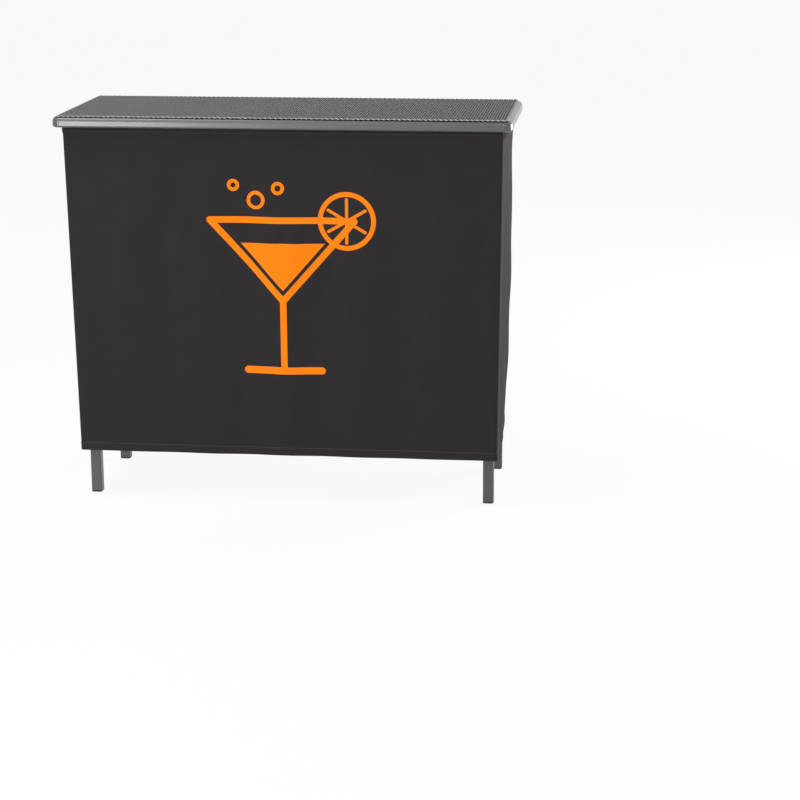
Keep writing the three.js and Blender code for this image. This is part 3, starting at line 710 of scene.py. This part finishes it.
@dataclass
class ExpandedMesh:
    """A panel of expanded steel: staggered diamond slits between ridged strands, with an open zigzag edge."""

    coat: Material
    # painted shade in the slits and under the panel
    slit: Material
    # painted highlight on the cut border
    edge: Material
    pitch: float = 11.7 * MM
    opening: Spot = (0.56, 0.9)  # shares of the pitch, across the panel and along its depth
    thickness: float = 2.0 * MM
    crown: float = 0.35 * MM
    lip: float = 1.0 * MM

    def build(
        self, name: str, body: str, node: str, notch: Callable[[float, float], bool] | None = None
    ) -> Object:
        """Make a panel that fills the rectangle of a CAD node.

        Args:
            name: The piece's name.
            body: The body that carries it.
            node: The node that it stands for.
            notch: Says where the panel is cut away.

        Returns:
            The new piece, coated on top, with painted shade in its slits and a painted highlight round its
            cut border.
        """
        low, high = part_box(node)
        columns, rows = round((high.x - low.x) / self.pitch), round((high.y - low.y) / self.pitch)
        step_x, step_y = (high.x - low.x) / columns / 2, (high.y - low.y) / rows / 2
        points: list[Point] = []
        strands: Faces = []
        slits: Faces = []
        crossings: dict[tuple[int, int], int] = {}
        edges: set[tuple[int, int]] = set()

        def crossing(i: int, j: int) -> int:
            """Find or make a crossing of strands.

            Args:
                i: Its place across the panel, in half pitches.
                j: Its place along the panel's depth, in half pitches.

            Returns:
                The number of its upper point. Its lower point follows it.
            """
            if (i, j) not in crossings:
                x, y = low.x + i * step_x, low.y + j * step_y
                crossings[i, j] = len(points)
                points.extend([(x, y, high.z), (x, y, high.z - self.thickness)])
            return crossings[i, j]

        for i in range(1, 2 * columns):
            for j in range(2 - i % 2, 2 * rows, 2):
                x, y = low.x + i * step_x, low.y + j * step_y
                if notch and notch(x, y):
                    continue
                ring = [crossing(i + 1, j), crossing(i, j + 1), crossing(i - 1, j), crossing(i, j - 1)]
                base = len(points)
                for dx, dy in ((1, 0), (0, 1), (-1, 0), (0, -1)):
                    across, along = x + dx * self.opening[0] * step_x, y + dy * self.opening[1] * step_y
                    points.append((across, along, high.z - self.crown))
                    points.append((across, along, high.z - self.thickness))
                for k in range(4):
                    n = (k + 1) % 4
                    a, b = base + 2 * k, base + 2 * n
                    strands.append([ring[k], ring[n], b, a])
                    slits.append([a, b, b + 1, a + 1])
                    slits.append([ring[n] + 1, ring[k] + 1, a + 1, b + 1])
                    if (ring[n], ring[k]) in edges:
                        edges.remove((ring[n], ring[k]))
                    else:
                        edges.add((ring[k], ring[n]))
        for a, _ in edges:
            x, y, z = points[a + 1]
            points[a + 1] = (x, y, z - self.lip)
        border = [[b, a, a + 1, b + 1] for a, b in sorted(edges)]
        panel = add_mesh(name, points, strands + slits + border, 30)
        settle(panel, body, "mesh", self.coat, node)
        panel.data.materials.append(self.slit)
        panel.data.materials.append(self.edge)
        for number, polygon in enumerate(panel.data.polygons):
            polygon.material_index = (number >= len(strands)) + (number >= len(strands) + len(slits))
        return panel


@dataclass(frozen=True)
class Ripple:
    """An irregular ripple in hanging cloth: how often it comes across and up, its seed and its depth."""

    across: float
    up: float
    seed: float
    depth: float

    def at(self, place: float, z: float, shift: float = 0) -> float:
        """Return how far the ripple lifts the cloth at a place and a height, with its seed shifted."""
        return noise.noise(Vector((place * self.across, z * self.up, self.seed + shift))) * self.depth


@dataclass
class Skirt:
    """The cloth skirt: a printed front and two sides, sewn round the front corners and hung from tape."""

    half_length: float = 525 * MM
    half_depth: float = 205 * MM
    inset: float = 21.1 * MM
    top: float = 904.9 * MM
    tape_bottom: float = 889.9 * MM
    bottom: float = 118 * MM
    front_lean: float = 12 * MM
    side_lean: float = 10 * MM
    rear_end: float = 184.7 * MM
    corner: float = 6 * MM
    corner_steps: int = 4
    fold: float = 6 * MM
    folds: float = 5.5
    side_fold: float = 3 * MM
    side_folds: float = 2.5
    fold_reach: float = 0.9
    front_ripples: tuple[Ripple, ...] = (Ripple(8, 1.6, 3.1, 2.2 * MM), Ripple(26, 5, 8.7, 0.8 * MM))
    side_ripple: Ripple = Ripple(9, 2.4, 11, 2.4 * MM)
    side_slack: Ripple = Ripple(1, 7, 2, 4 * MM)
    side_still: Spot = (150 * MM, 220 * MM)  # the sides' ripples die out between these heights
    header_bulge: float = 6.5 * MM
    header_rise: Spot = (866 * MM, 872 * MM)
    header_fall: Spot = (881 * MM, 890 * MM)
    band_z: float = 138 * MM
    band_pull: float = 6.2 * MM
    band_reach: float = 70 * MM
    thickness: float = 1.0 * MM
    hem: float = 18 * MM
    hem_extra: float = 0.7 * MM
    hem_step: float = 0.6 * MM
    hem_clear: float = 3 * MM
    spacing: float = 8 * MM
    close_from: float = 860 * MM
    close_spacing: float = 2.6 * MM
    tape_spacing: float = 12 * MM
    tape_section: tuple[Spot, ...] = (
        (0.0, 0.0), (1.0, 0.0), (1.0, 0.12), (0.8, 0.18), (0.8, 0.82), (1.0, 0.88), (1.0, 1.0), (0.0, 1.0)
    )  # shares of the strip's thickness and height, with raised selvedges
    creases: tuple[Crease, ...] = ()

    def build(self, plain: Material, printed: Material, tape: Material) -> None:
        """Make the cloth and its tape.

        Args:
            plain: The unprinted back of the cloth, a paler copy of its black with painted light, which the
                inside shows.
            printed: The outside, with its print.
            tape: The hook tape.
        """
        heights = self._heights()
        stations = self._stations()
        middle = [[self._place(*station[:2], z) for z in heights] for station in stations]
        points, flat = [], []
        for face in (1, -1):
            for c, (_, _, across) in enumerate(stations):
                for r, z in enumerate(heights):
                    out = self._normal(middle, c, r) * face * self._half(z, face)
                    points.append(tuple(middle[c][r] + out))
                    flat.append((across, z - self.bottom))
        outside, inside, edges = self._faces(len(stations) - 1, len(heights))
        cloth = add_mesh("skirt_cloth", points, outside + inside + edges, 60)
        layer = cloth.data.uv_layers.new(name="flat")
        for loop in cloth.data.loops:
            layer.data[loop.index].uv = flat[loop.vertex_index]
        settle(cloth, "top", "cloth", printed, "skirt_front", "skirt_left", "skirt_right")
        cloth.data.materials.append(plain)
        for polygon in cloth.data.polygons[len(outside) : len(outside) + len(inside)]:
            polygon.material_index = 1
        strips = [self._tape(stretch, tape) for stretch in Stretch if not stretch.bent]

    def _tape(self, stretch: Stretch, tape: Material) -> Object:
        """Make one strip of hook tape in place of its node.

        Args:
            stretch: The stretch of the skirt that hangs on it.
            tape: The hook tape.

        Returns:
            The new piece.
        """
        name = stretch.name.lower()
        low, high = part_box(f"hook_tape_{name}")
        along = abs(stretch.sign)
        size = high - low
        steps = round(size[along] / self.tape_spacing)
        rings = []
        for k in range(steps + 1):
            ring = []
            for deep, up in self.tape_section:
                spot = [low.x, low.y, low.z + up * size.z]
                spot[along] += size[along] * k / steps
                spot[1 - along] += size[1 - along] * (1 - deep if stretch is Stretch.LEFT else deep)
                ring.append(tuple(spot))
            rings.append(ring)
        strip = loft(f"hook_strip_{name}", [rings], 30)
        return settle(strip, "top", "tape", tape, f"hook_tape_{name}")

    def _heights(self) -> list[float]:
        """Set out the rows of points, close together at the step of the hem and under the rim.

        Returns:
            The rows' heights, from the hem up.
        """
        edge = self.bottom + self.hem
        low = [self.bottom, self.bottom + self.hem / 2, edge - self.hem_step, edge + self.hem_step]
        start, end = edge + self.hem_clear, self.close_from
        count = round((end - start) / self.spacing)
        body = [start + (end - start) * r / count for r in range(count)]
        count = round((self.top - end) / self.close_spacing)
        return low + body + [end + (self.top - end) * r / count for r in range(count + 1)]

    def _stations(self) -> list[tuple[Stretch, float, float]]:
        """Set out the columns of points.

        Returns:
            For each column its stretch, its share along it, and its flat distance from the cloth's middle.
        """
        front = 2 * (self.half_length - self.inset - self.corner)
        bend = self.corner * math.pi / 2
        side = self.rear_end + self.half_depth - self.inset - self.corner
        stations = []
        start = -front / 2 - bend - side
        for stretch in Stretch:
            length = bend if stretch.bent else side if stretch.sign else front
            count = self.corner_steps if stretch.bent else round(length / self.spacing)
            last = stretch is Stretch.RIGHT
            stations += [(stretch, k / count, start + length * k / count) for k in range(count + last)]
            start += length
        return stations

    def _place(self, stretch: Stretch, share: float, z: float) -> Vector:
        """Find a place on the cloth's middle surface.

        Args:
            stretch: The stretch of cloth.
            share: How far along it, from 0 to 1.
            z: The height.

        Returns:
            The place in metres.
        """
        free = max(0.0, (self.tape_bottom - z) / (self.tape_bottom - self.bottom))
        side_x = self.half_length - self.inset - self.side_lean * free
        front_y = self.inset - self.half_depth + self.front_lean * free
        if stretch is Stretch.FRONT:
            x = (2 * share - 1) * (side_x - self.corner)
            return Vector((x, front_y + self._front_fold(x, side_x, z, free), z))
        sign = stretch.sign
        if stretch.bent:
            turn = math.pi / 2 * (share if sign < 0 else 1 - share)
            x = side_x - self.corner + self.corner * math.cos(turn)
            return Vector((sign * x, front_y + self.corner - self.corner * math.sin(turn), z))
        back = share if sign > 0 else 1 - share
        start = front_y + self.corner
        y = start + (self.rear_end - start) * back
        return Vector((sign * (side_x + self._side_fold(sign, back, y, z, free)), y, z))

    def _swell(self, free: float) -> float:
        """Return how far folds swell between the tape and the doubled hem, which almost stops them."""
        return math.sin(math.pi * free * self.fold_reach)

    def _front_fold(self, x: float, side_x: float, z: float, free: float) -> float:
        """Work out how far the front lies behind its plane: broad folds, ripples and creases.

        Args:
            x: The place across the panel.
            side_x: How far out the sides are at this height.
            z: The height.
            free: The share of the drop from the tape to the hem.

        Returns:
            The distance.
        """
        share = (x + side_x) / (2 * side_x)
        fade = math.sin(math.pi * share)
        wave = self.fold * self._swell(free) * math.sin(2 * math.pi * self.folds * share) * fade
        rippled = sum(ripple.at(x, z) for ripple in self.front_ripples)
        creased = sum(crease.depth_at(x, z) for crease in self.creases)
        # The tape, the corners and the hem hold the cloth.
        hold = smooth_step(free, 0, 0.1) * smooth_step(fade, 0, 0.3) * (1 - 0.8 * smooth_step(free, 0.85, 1))
        return wave + (rippled + creased) * hold

    def _side_fold(self, sign: int, back: float, y: float, z: float, free: float) -> float:
        """Work out how far a side stands out of its plane: folds, ripples, header, and the leg band's pull.

        Args:
            sign: The sign of the side.
            back: The share of the way from the front corner to the rear edge.
            y: The place along the side.
            z: The height.
            free: The share of the drop from the tape to the hem.

        Returns:
            The distance.
        """
        fade = math.sin(math.pi * back)
        wave = self.side_fold * self._swell(free) * math.sin(2 * math.pi * self.side_folds * back) * fade
        edge = smooth_step(back, 0.5, 1)
        rippled = self.side_ripple.at(y, z, sign) + self.side_slack.at(4 + sign, z) * edge
        hold = smooth_step(free, 0, 0.1) * smooth_step(back, 0, 0.12) * smooth_step(z, *self.side_still)
        header = smooth_step(z, *self.header_rise) * (1 - smooth_step(z, *self.header_fall))
        bulge = self.header_bulge * header * smooth_step(back, 0, 0.04)
        pull = self.band_pull * edge * math.exp(-(((z - self.band_z) / self.band_reach) ** 2))
        return wave + rippled * hold + bulge - pull

    def _normal(self, middle: list[list[Vector]], c: int, r: int) -> Vector:
        """Find the outward normal of the middle surface.

        Args:
            middle: The surface's points, by column and row.
            c: The column.
            r: The row.

        Returns:
            The normal.
        """
        across = middle[min(c + 1, len(middle) - 1)][r] - middle[max(c - 1, 0)][r]
        up = middle[c][min(r + 1, len(middle[c]) - 1)] - middle[c][max(r - 1, 0)]
        return across.cross(up).normalized()

    def _half(self, z: float, face: int) -> float:
        """Return half the cloth's thickness, and on the outside the turned hem's extra."""
        doubled = z < self.bottom + self.hem
        return self.thickness / 2 + (self.hem_extra if doubled and face > 0 else 0)

    def _faces(self, columns: int, rows: int) -> tuple[Faces, Faces, Faces]:
        """List the cloth's faces, all turning outwards.

        Args:
            columns: The count of strips between columns of points.
            rows: The count of points in a column.

        Returns:
            The faces of the outside, of the inside and of the four edges.
        """
        count = (columns + 1) * rows
        outside, inside, edges = [], [], []
        for c in range(columns):
            for r in range(rows - 1):
                a, b = c * rows + r, (c + 1) * rows + r
                outside += [[a, b, b + 1], [a, b + 1, a + 1]]
                inside += [[b + count + 1, b + count, a + count], [a + count + 1, b + count + 1, a + count]]
            low, high = c * rows, c * rows + rows - 1
            edges.append([low + count, low + rows + count, low + rows, low])
            edges.append([high, high + rows, high + rows + count, high + count])
        last = columns * rows
        for r in range(rows - 1):
            edges.append([r, r + 1, r + 1 + count, r + count])
            edges.append([last + r + count, last + r + 1 + count, last + r + 1, last + r])
        return outside, inside, edges


@dataclass
class LegBand:
    """A hook-and-loop band round a rear leg: webbing with raised edges and a lapped end on the inner side."""

    half: float = 12.8 * MM
    corner: float = 2.8 * MM
    thickness: float = 1.4 * MM
    height: float = 28 * MM
    lap: float = 0.9 * MM
    lap_from: float = -0.4
    steps: int = 6
    corner_steps: int = 4
    section: tuple[Spot, ...] = (
        (0, -0.5), (1, -0.47), (1, -0.4), (0.82, -0.36), (0.82, 0.36), (1, 0.4), (1, 0.47), (0, 0.5)
    )  # shares of the thickness and the height

    def build(self, side: Side, tape: Material) -> None:
        """Make one side's band.

        Args:
            side: The end of the counter.
            tape: The hook tape.
        """
        name = side.name.lower()
        low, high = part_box(f"leg_band_{name}")
        centre = (low + high) / 2
        rings = []
        for spot, away, extra in self._path():
            ring = []
            for out, up in self.section:
                reach = out * (self.thickness + extra)
                ring.append((*(centre.xy + spot + away * reach), centre.z + up * self.height))
            rings.append(ring)
        band = loft(f"leg_strap_{name}", [rings], 50, closed=True)
        settle(band, f"{name}_frame", "tape", tape, f"leg_band_{name}")

    def _path(self) -> list[tuple[Vector, Vector, float]]:
        """Set out the band's inner outline in plan.

        Returns:
            For each place on it the place, the outward direction, and the lap's extra thickness.
        """
        path = []
        straight = self.half - self.corner
        for turn in range(4):
            angle = turn * math.pi / 2
            away = Vector((math.cos(angle), math.sin(angle)))
            run = Vector((-math.sin(angle), math.cos(angle)))
            for k in range(self.steps + 1):
                share = 2 * k / self.steps - 1
                lapped = self.lap if turn == 3 and share > self.lap_from else 0.0
                path.append((away * self.half + run * share * straight, away, lapped))
            for k in range(1, self.corner_steps):
                bend = angle + math.pi / 2 * k / self.corner_steps
                out = Vector((math.cos(bend), math.sin(bend)))
                path.append(((away + run) * straight + out * self.corner, out, 0.0))
        return path


@dataclass
class Rivets:
    """The visible fasteners: tubular rivets in the braces and shelf brackets, and the heads at the pivots."""

    leg_x: float = 471.5 * MM
    leg_y: dict[Row, float] = field(default_factory=lambda: {Row.FRONT: -117 * MM, Row.REAR: 173 * MM})
    pivot_z: dict[Side, float] = field(default_factory=lambda: {Side.LEFT: 893 * MM, Side.RIGHT: 865 * MM})
    low_z: dict[Side, float] = field(default_factory=lambda: {Side.LEFT: 756 * MM, Side.RIGHT: 741 * MM})
    middle: dict[Side, Spot] = field(
        default_factory=lambda: {Side.LEFT: (-393 * MM, 828.4 * MM), Side.RIGHT: (405.8 * MM, 820.3 * MM)}
    )
    slope: dict[Side, float] = field(default_factory=lambda: {Side.LEFT: 42.69, Side.RIGHT: 50.34})
    bracket_z: Spot = (466 * MM, 482 * MM)
    pin_face: float = 15.1 * MM
    leg_face: float = 17.6 * MM
    top_face: float = 20.8 * MM
    bracket_face: float = 15.3 * MM
    pin_scale: float = 1.3
    tab_scale: float = 0.98
    tab_seat: float = 0.5 * MM
    sides: int = 28
    crease: float = 45
    tab_crease: float = 40
    profile_mm: tuple[Spot, ...] = (
        (5.3, 0.0), (5.3, 0.7), (4.9, 1.3), (4.0, 1.6), (3.1, 1.5), (2.5, 1.1), (2.2, 0.5)
    )  # radius and rise, from the foot over the dome and into the hole
    tab_round_mm: float = 6.7
    tab_round_steps: int = 10
    tab_end_mm: tuple[Spot, ...] = ((15.0, -6.7), (17.5, -4.6), (18.0, 0.0), (17.5, 4.6), (15.0, 6.7))
    tab_levels: tuple[Spot, ...] = ((-0.2, 1.0), (0.35, 1.0), (0.6, 0.94))  # rise in mm, share of the width

    def build(self, zinc: Material, bright: Material, coat: Material) -> None:
        """Make every fastener, one piece to a body or a joint.

        Args:
            zinc: The links' plate.
            bright: The brighter plate of the end tabs.
            coat: The frames' powder coat.
        """
        for side in Side:
            name = side.name.lower()
            leg_x = side.value * self.leg_x
            for row in Row:
                tag = f"{name}_{row.name.lower()}"
                y = self.leg_y[row]
                foot = Vector((leg_x, y + row.value * self.leg_face, self.low_z[side]))
                head = self._head(foot + Vector((0, row.value * self.tab_seat, 0)), row, self.tab_scale)
                tab = loft(f"brace_end_tab_{tag}", [head, self._tab(foot, side, row)], self.tab_crease)
                settle(tab, f"leg_link_{tag}", "zinc", bright)
                x, z = self.middle[side]
                head = self._head(Vector((x, y + row.value * self.top_face, z)), row)
                rivet = loft(f"brace_middle_rivet_{tag}", [head], self.crease)
                settle(rivet, f"top_link_{tag}", "zinc", zinc)
                pin = Vector((leg_x, y + row.value * self.pin_face, self.pivot_z[side]))
                dome = loft(f"pivot_head_{tag}", [self._head(pin, row, self.pin_scale)], self.crease)
                settle(dome, "top", "frame", coat)
            places = [(row, z) for row in (Row.REAR, Row.FRONT) for z in self.bracket_z]
            for k, (row, z) in enumerate(places):
                foot = Vector((leg_x, self.leg_y[row] - row.value * self.bracket_face, z))
                rivet = loft(f"bracket_rivets_{name}_{k}", [self._head(foot, Row(-row.value))], self.crease)
                settle(rivet, f"{name}_frame", "frame", coat)

    def _head(self, foot: Vector, row: Row, scale: float = 1.0) -> list[Ring]:
        """Shape a tubular rivet's head that faces along Y.

        Args:
            foot: The middle of its foot.
            row: The way it faces.
            scale: Its width beside a brace rivet.

        Returns:
            Its rings.
        """
        rings = []
        for radius, rise in self.profile_mm:
            ring = []
            for k in range(self.sides):
                turn = 2 * math.pi * k / self.sides
                out = Vector((math.cos(turn), 0, math.sin(turn))) * radius * scale * MM
                ring.append(tuple(foot + out + Vector((0, row.value * rise * MM, 0))))
            rings.append(ring)
        return rings

    def _tab(self, foot: Vector, side: Side, row: Row) -> list[Ring]:
        """Shape the bright pressed tab at a leg link's lower end.

        Args:
            foot: The rivet's middle on the link's outer face.
            side: The end of the counter.
            row: The row of legs.

        Returns:
            Its rings.
        """
        slope = math.radians(self.slope[side])
        along = Vector((-side.value * math.cos(slope), 0, math.sin(slope)))
        over = Vector((side.value * math.sin(slope), 0, math.cos(slope)))
        turns = [math.pi * (0.5 + k / self.tab_round_steps) for k in range(self.tab_round_steps + 1)]
        outline = [(math.cos(turn) * self.tab_round_mm, math.sin(turn) * self.tab_round_mm) for turn in turns]
        outline += self.tab_end_mm
        rings = []
        for rise, share in self.tab_levels:
            out = Vector((0, row.value * rise * MM, 0))
            rings.append([tuple(foot + (along * u + over * v) * share * MM + out) for u, v in outline])
        return rings


@dataclass(frozen=True)
class Lamp:
    """A square soft box: its middle, what it faces, its side in metres and its power in watts."""

    name: str
    place: Point
    target: Point
    size: float
    power: float

    def hang(self) -> None:
        """Add the lamp to the scene, out of the camera's sight."""
        data = bpy.data.lights.new(self.name, "AREA")
        data.size = self.size
        data.energy = self.power
        lamp = bpy.data.objects.new(self.name, data)
        lamp.location = self.place
        lamp.visible_camera = False
        lamp.rotation_euler = (Vector(self.target) - Vector(self.place)).to_track_quat("-Z", "Y").to_euler()
        bpy.context.scene.collection.objects.link(lamp)


@dataclass
class Studio:
    """A plain pale floor, soft lamps and the camera of the front view."""

    floor_size: float = 60.0
    paper: str = "#f4f4f4"
    paper_glow: float = 0.9
    sky: float = 0.5
    camera_place: Point = (0.826, -5.001, 1.522)
    yaw: float = -6.586
    pitch: float = -14.563
    roll: float = -0.233
    lens: float = 97.4
    sensor: float = 36
    sight: float = 100
    lamps: tuple[Lamp, ...] = (
        Lamp("key", (-1.6, -3.4, 3.6), (0, 0, 0.5), 3.0, 28),
        Lamp("strip", (-1.5, -3.1, 0.6), (0, 0, 0.8), 1.1, 40),
        Lamp("top", (-1.1, -0.5, 2.7), (-0.3, 0, 0.9), 1.2, 22),
        Lamp("fill", (1.6, -3.3, 1.7), (0, 0, 0.8), 1.0, 14),
        Lamp("back", (2.9, 2.2, 0.85), (0, 0, 0.5), 1.1, 100),
    )

    def build(self) -> None:
        """Make the floor, the world, the lamps and the camera."""
        bpy.context.scene.view_settings.view_transform = "Standard"
        half = self.floor_size / 2
        corners = [(-half, -half, 0), (half, -half, 0), (half, half, 0), (-half, half, 0)]
        floor = add_mesh("floor", corners, [[0, 1, 2, 3]])
        dress(floor, self._paper())
        self._world()
        for lamp in self.lamps:
            lamp.hang()
        self._camera()

    def _seen(self, tree: NodeTree) -> NodeSocket:
        """Tell the rays that see the background from those that carry its light.

        Args:
            tree: The node tree of the floor or the world.

        Returns:
            A mask that is one for the camera's rays and for what metal and glass show.
        """
        rays = add_node(tree, "LightPath")
        first = {0: rays["Is Camera Ray"], 1: rays["Is Glossy Ray"]}
        either = add_node(tree, "Math", first, operation="MAXIMUM")[0]
        second = {0: either, 1: rays["Is Transmission Ray"]}
        return add_node(tree, "Math", second, operation="MAXIMUM")[0]

    def _paper(self) -> Material:
        """Make the floor's material: seamless white paper that keeps the object's shadow.

        Returns:
            The material.
        """
        material, tree, shader = new_material("seamless_white_paper")
        feed(tree, shader, {"Base Color": linear(self.paper), "Roughness": 0.9, "Specular IOR Level": 0.1})
        seen = {0: self._seen(tree), 1: self.paper_glow}
        share = add_node(tree, "Math", seen, operation="MULTIPLY")[0]
        glow = add_node(tree, "Emission", {"Color": (1, 1, 1, 1), "Strength": 1.0})[0]
        mix = add_node(tree, "MixShader", {0: share, 1: shader.outputs[0], 2: glow})[0]
        feed(tree, tree.nodes["Material Output"], {"Surface": mix})
        return material

    def _world(self) -> None:
        """Light the scene with an even pale sky that shows as white."""
        world = bpy.data.worlds.new("studio")
        bpy.context.scene.world = world
        world.use_nodes = True
        tree = world.node_tree
        level = {"Value": self._seen(tree), "To Min": self.sky, "To Max": 1.0}
        strength = add_node(tree, "MapRange", level)[0]
        feed(tree, tree.nodes["Background"], {"Color": (1, 1, 1, 1), "Strength": strength})

    def _camera(self) -> None:
        """Stand the camera in front of the bar."""
        scene = bpy.context.scene
        data = bpy.data.cameras.new("front_view")
        data.sensor_width = self.sensor
        data.lens = self.lens
        data.clip_end = self.sight
        camera = bpy.data.objects.new("front_view", data)
        scene.collection.objects.link(camera)
        yaw, pitch = math.radians(self.yaw), math.radians(self.pitch)
        ahead = Vector((math.sin(yaw) * math.cos(pitch), math.cos(yaw) * math.cos(pitch), math.sin(pitch)))
        turn = ahead.to_track_quat("-Z", "Y").to_matrix().to_4x4()
        roll = Matrix.Rotation(math.radians(self.roll), 4, "Z")
        camera.matrix_world = Matrix.Translation(self.camera_place) @ turn @ roll
        scene.camera = camera


# The front panel's main creases, where they show most on its inside.
CREASES = (
    Crease(-0.062, 0.752, 0.050, 62, 0.0050),
    Crease(-0.026, 0.722, 0.034, -50, 0.0042),
    Crease(0.000, 0.628, 0.044, 30, 0.0038),
    Crease(-0.028, 0.360, 0.080, 4, 0.0026),
    Crease(0.118, 0.560, 0.180, -12, 0.0020),
    Crease(-0.215, 0.600, 0.160, 6, 0.0018),
    Crease(0.300, 0.400, 0.150, 8, 0.0014),
)

# The print on the front panel: a generic stemmed cup, a spoked round on its brim and three bubbles over it.
PRINT = (
    Mark(Ink.STROKE, ((-168, 560), (0, 372)), 15),
    Mark(Ink.STROKE, ((168, 560), (0, 372)), 15),
    Mark(Ink.STROKE, ((-168, 560), (168, 560)), 15),
    Mark(Ink.FILL, ((0, 396), (98, 506), (-98, 506)), 0),
    Mark(Ink.STROKE, ((0, 372), (0, 214)), 15),
    Mark(Ink.STROKE, ((-88, 206), (88, 206)), 17),
    Mark(Ink.RING, ((150, 560),), 11, 62),
    Mark(Ink.STROKE, ((150, 510), (150, 610)), 7),
    Mark(Ink.STROKE, ((107, 535), (193, 585)), 7),
    Mark(Ink.STROKE, ((107, 585), (193, 535)), 7),
    Mark(Ink.RING, ((-60, 606),), 8, 17),
    Mark(Ink.RING, ((-8, 634),), 8, 11),
    Mark(Ink.RING, ((-112, 640),), 8, 10),
)

# The shelf's corners are cut away round the legs' brackets, beyond these distances from its middle.
SHELF_MIDDLE_Y = 28 * MM
NOTCH_X = 452 * MM
NOTCH_Y = 108.2 * MM


def shelf_notch(x: float, y: float) -> bool:
    """Say whether a place is in a corner of the shelf that is cut away."""
    return abs(x) > NOTCH_X and abs(y - SHELF_MIDDLE_Y) > NOTCH_Y


def dress_nodes(material: Material, *starts: str) -> None:
    """Give CAD nodes a material.

    Args:
        material: The material.
        starts: The beginnings of the nodes' names.
    """
    for name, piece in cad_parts.items():
        if name.startswith(starts):
            dress(piece, material)
            LOG.info("%s is %s", name, material.name)


def main() -> None:
    """Build the bar's looks in order."""
    logging.basicConfig(level=logging.INFO)
    Studio().build()
    coat = PowderCoat("powder_coated_steel", "#464545", "#4c4b4b").build()
    # The rim gets a painted shade line along its top, under the mesh's edge.
    rim_coat = PowderCoat(
        "powder_coated_rim", "#403e3f", "#464445", roughness=0.3, gloss=0.9, painted_shade_above_mm=908.8
    ).build()
    # The rim's ends get a lighter copy of the rim's coat: painted light on their faces.
    end_coat = PowderCoat("powder_coated_rim_ends", "#4b4a4a", "#514f4f", 0.28, gloss=0.8).build()
    strand = PowderCoat("powder_coated_expanded_steel", "#636262", "#696868", 0.36).build()
    # The shelf's strands are a darker copy of the mesh coat: painted shade under the counter.
    shelf_strand = PowderCoat("powder_coated_shelf_mesh", "#575656", "#5d5c5c", 0.55, gloss=0.12).build()
    # Painted shade: the slits' walls and the mesh's underside are near black.
    slit = PowderCoat("painted_shade_in_slits", "#080707", "#0c0b0b", 0.8, gloss=0.04).build()
    # Painted highlights: the cut borders of the counter mesh and, dimmer, of the shelf are paler.
    painted_highlight = PowderCoat("rubbed_powder_coat_on_cut_edges", "#a29f9e", "#bcb9b8", 0.32, cloud_mm=8).build()
    shelf_edge = PowderCoat("rubbed_powder_coat_on_shelf_edge", "#5e5c5c", "#6e6c6c", 0.4, cloud_mm=8).build()
    zinc = ZincPlate().build()
    pale_zinc = ZincPlate("pale_zinc_plated_steel", "#a9aeac", "#7f8584").build()
    bright = ZincPlate("brighter_zinc_plate", "#d4d8d6", "#a9aeac", 0.22).build()
    tape = HookTape().build()
    skirt = Skirt(creases=CREASES)
    deepest = max(crease.depth for crease in CREASES)
    lines = tuple(Mark(Ink.STROKE, crease.ends(skirt.bottom), crease.depth / deepest) for crease in CREASES)
    # The back is a paler copy of the cloth's black: painted light on the skirt's inside.
    cloth = WovenPolyester("back_of_woven_polyester", "#302d2f", "#343133", 34, creases=lines).build()
    printed = WovenPolyester("screen_printed_polyester", "#2a2729", "#2e2b2d", 9, marks=PRINT).build()
    dress_nodes(coat, "pivot_pin", "strap_", "hinge_carrier", "brace_anchor", "leg_", "shelf_", "stretcher")
    dress_nodes(rim_coat, "rim_front", "rim_rear")
    dress_nodes(end_coat, "rim_left", "rim_right")
    dress_nodes(zinc, "brace_leg")
    dress_nodes(pale_zinc, "brace_top")
    dress_nodes(MouldedPlastic().build(), "foot_")
    ExpandedMesh(strand, slit, painted_highlight).build("counter_mesh", "top", "top_mesh")
    shelf = ExpandedMesh(shelf_strand, slit, shelf_edge, lip=0)
    shelf.build("shelf_sheet", "shelf", "shelf_mesh", shelf_notch)
    skirt.build(cloth, printed, tape)
    for side in Side:
        LegBand().build(side, tape)
    Rivets().build(zinc, bright, coat)


if __name__ == "__main__":
    main()
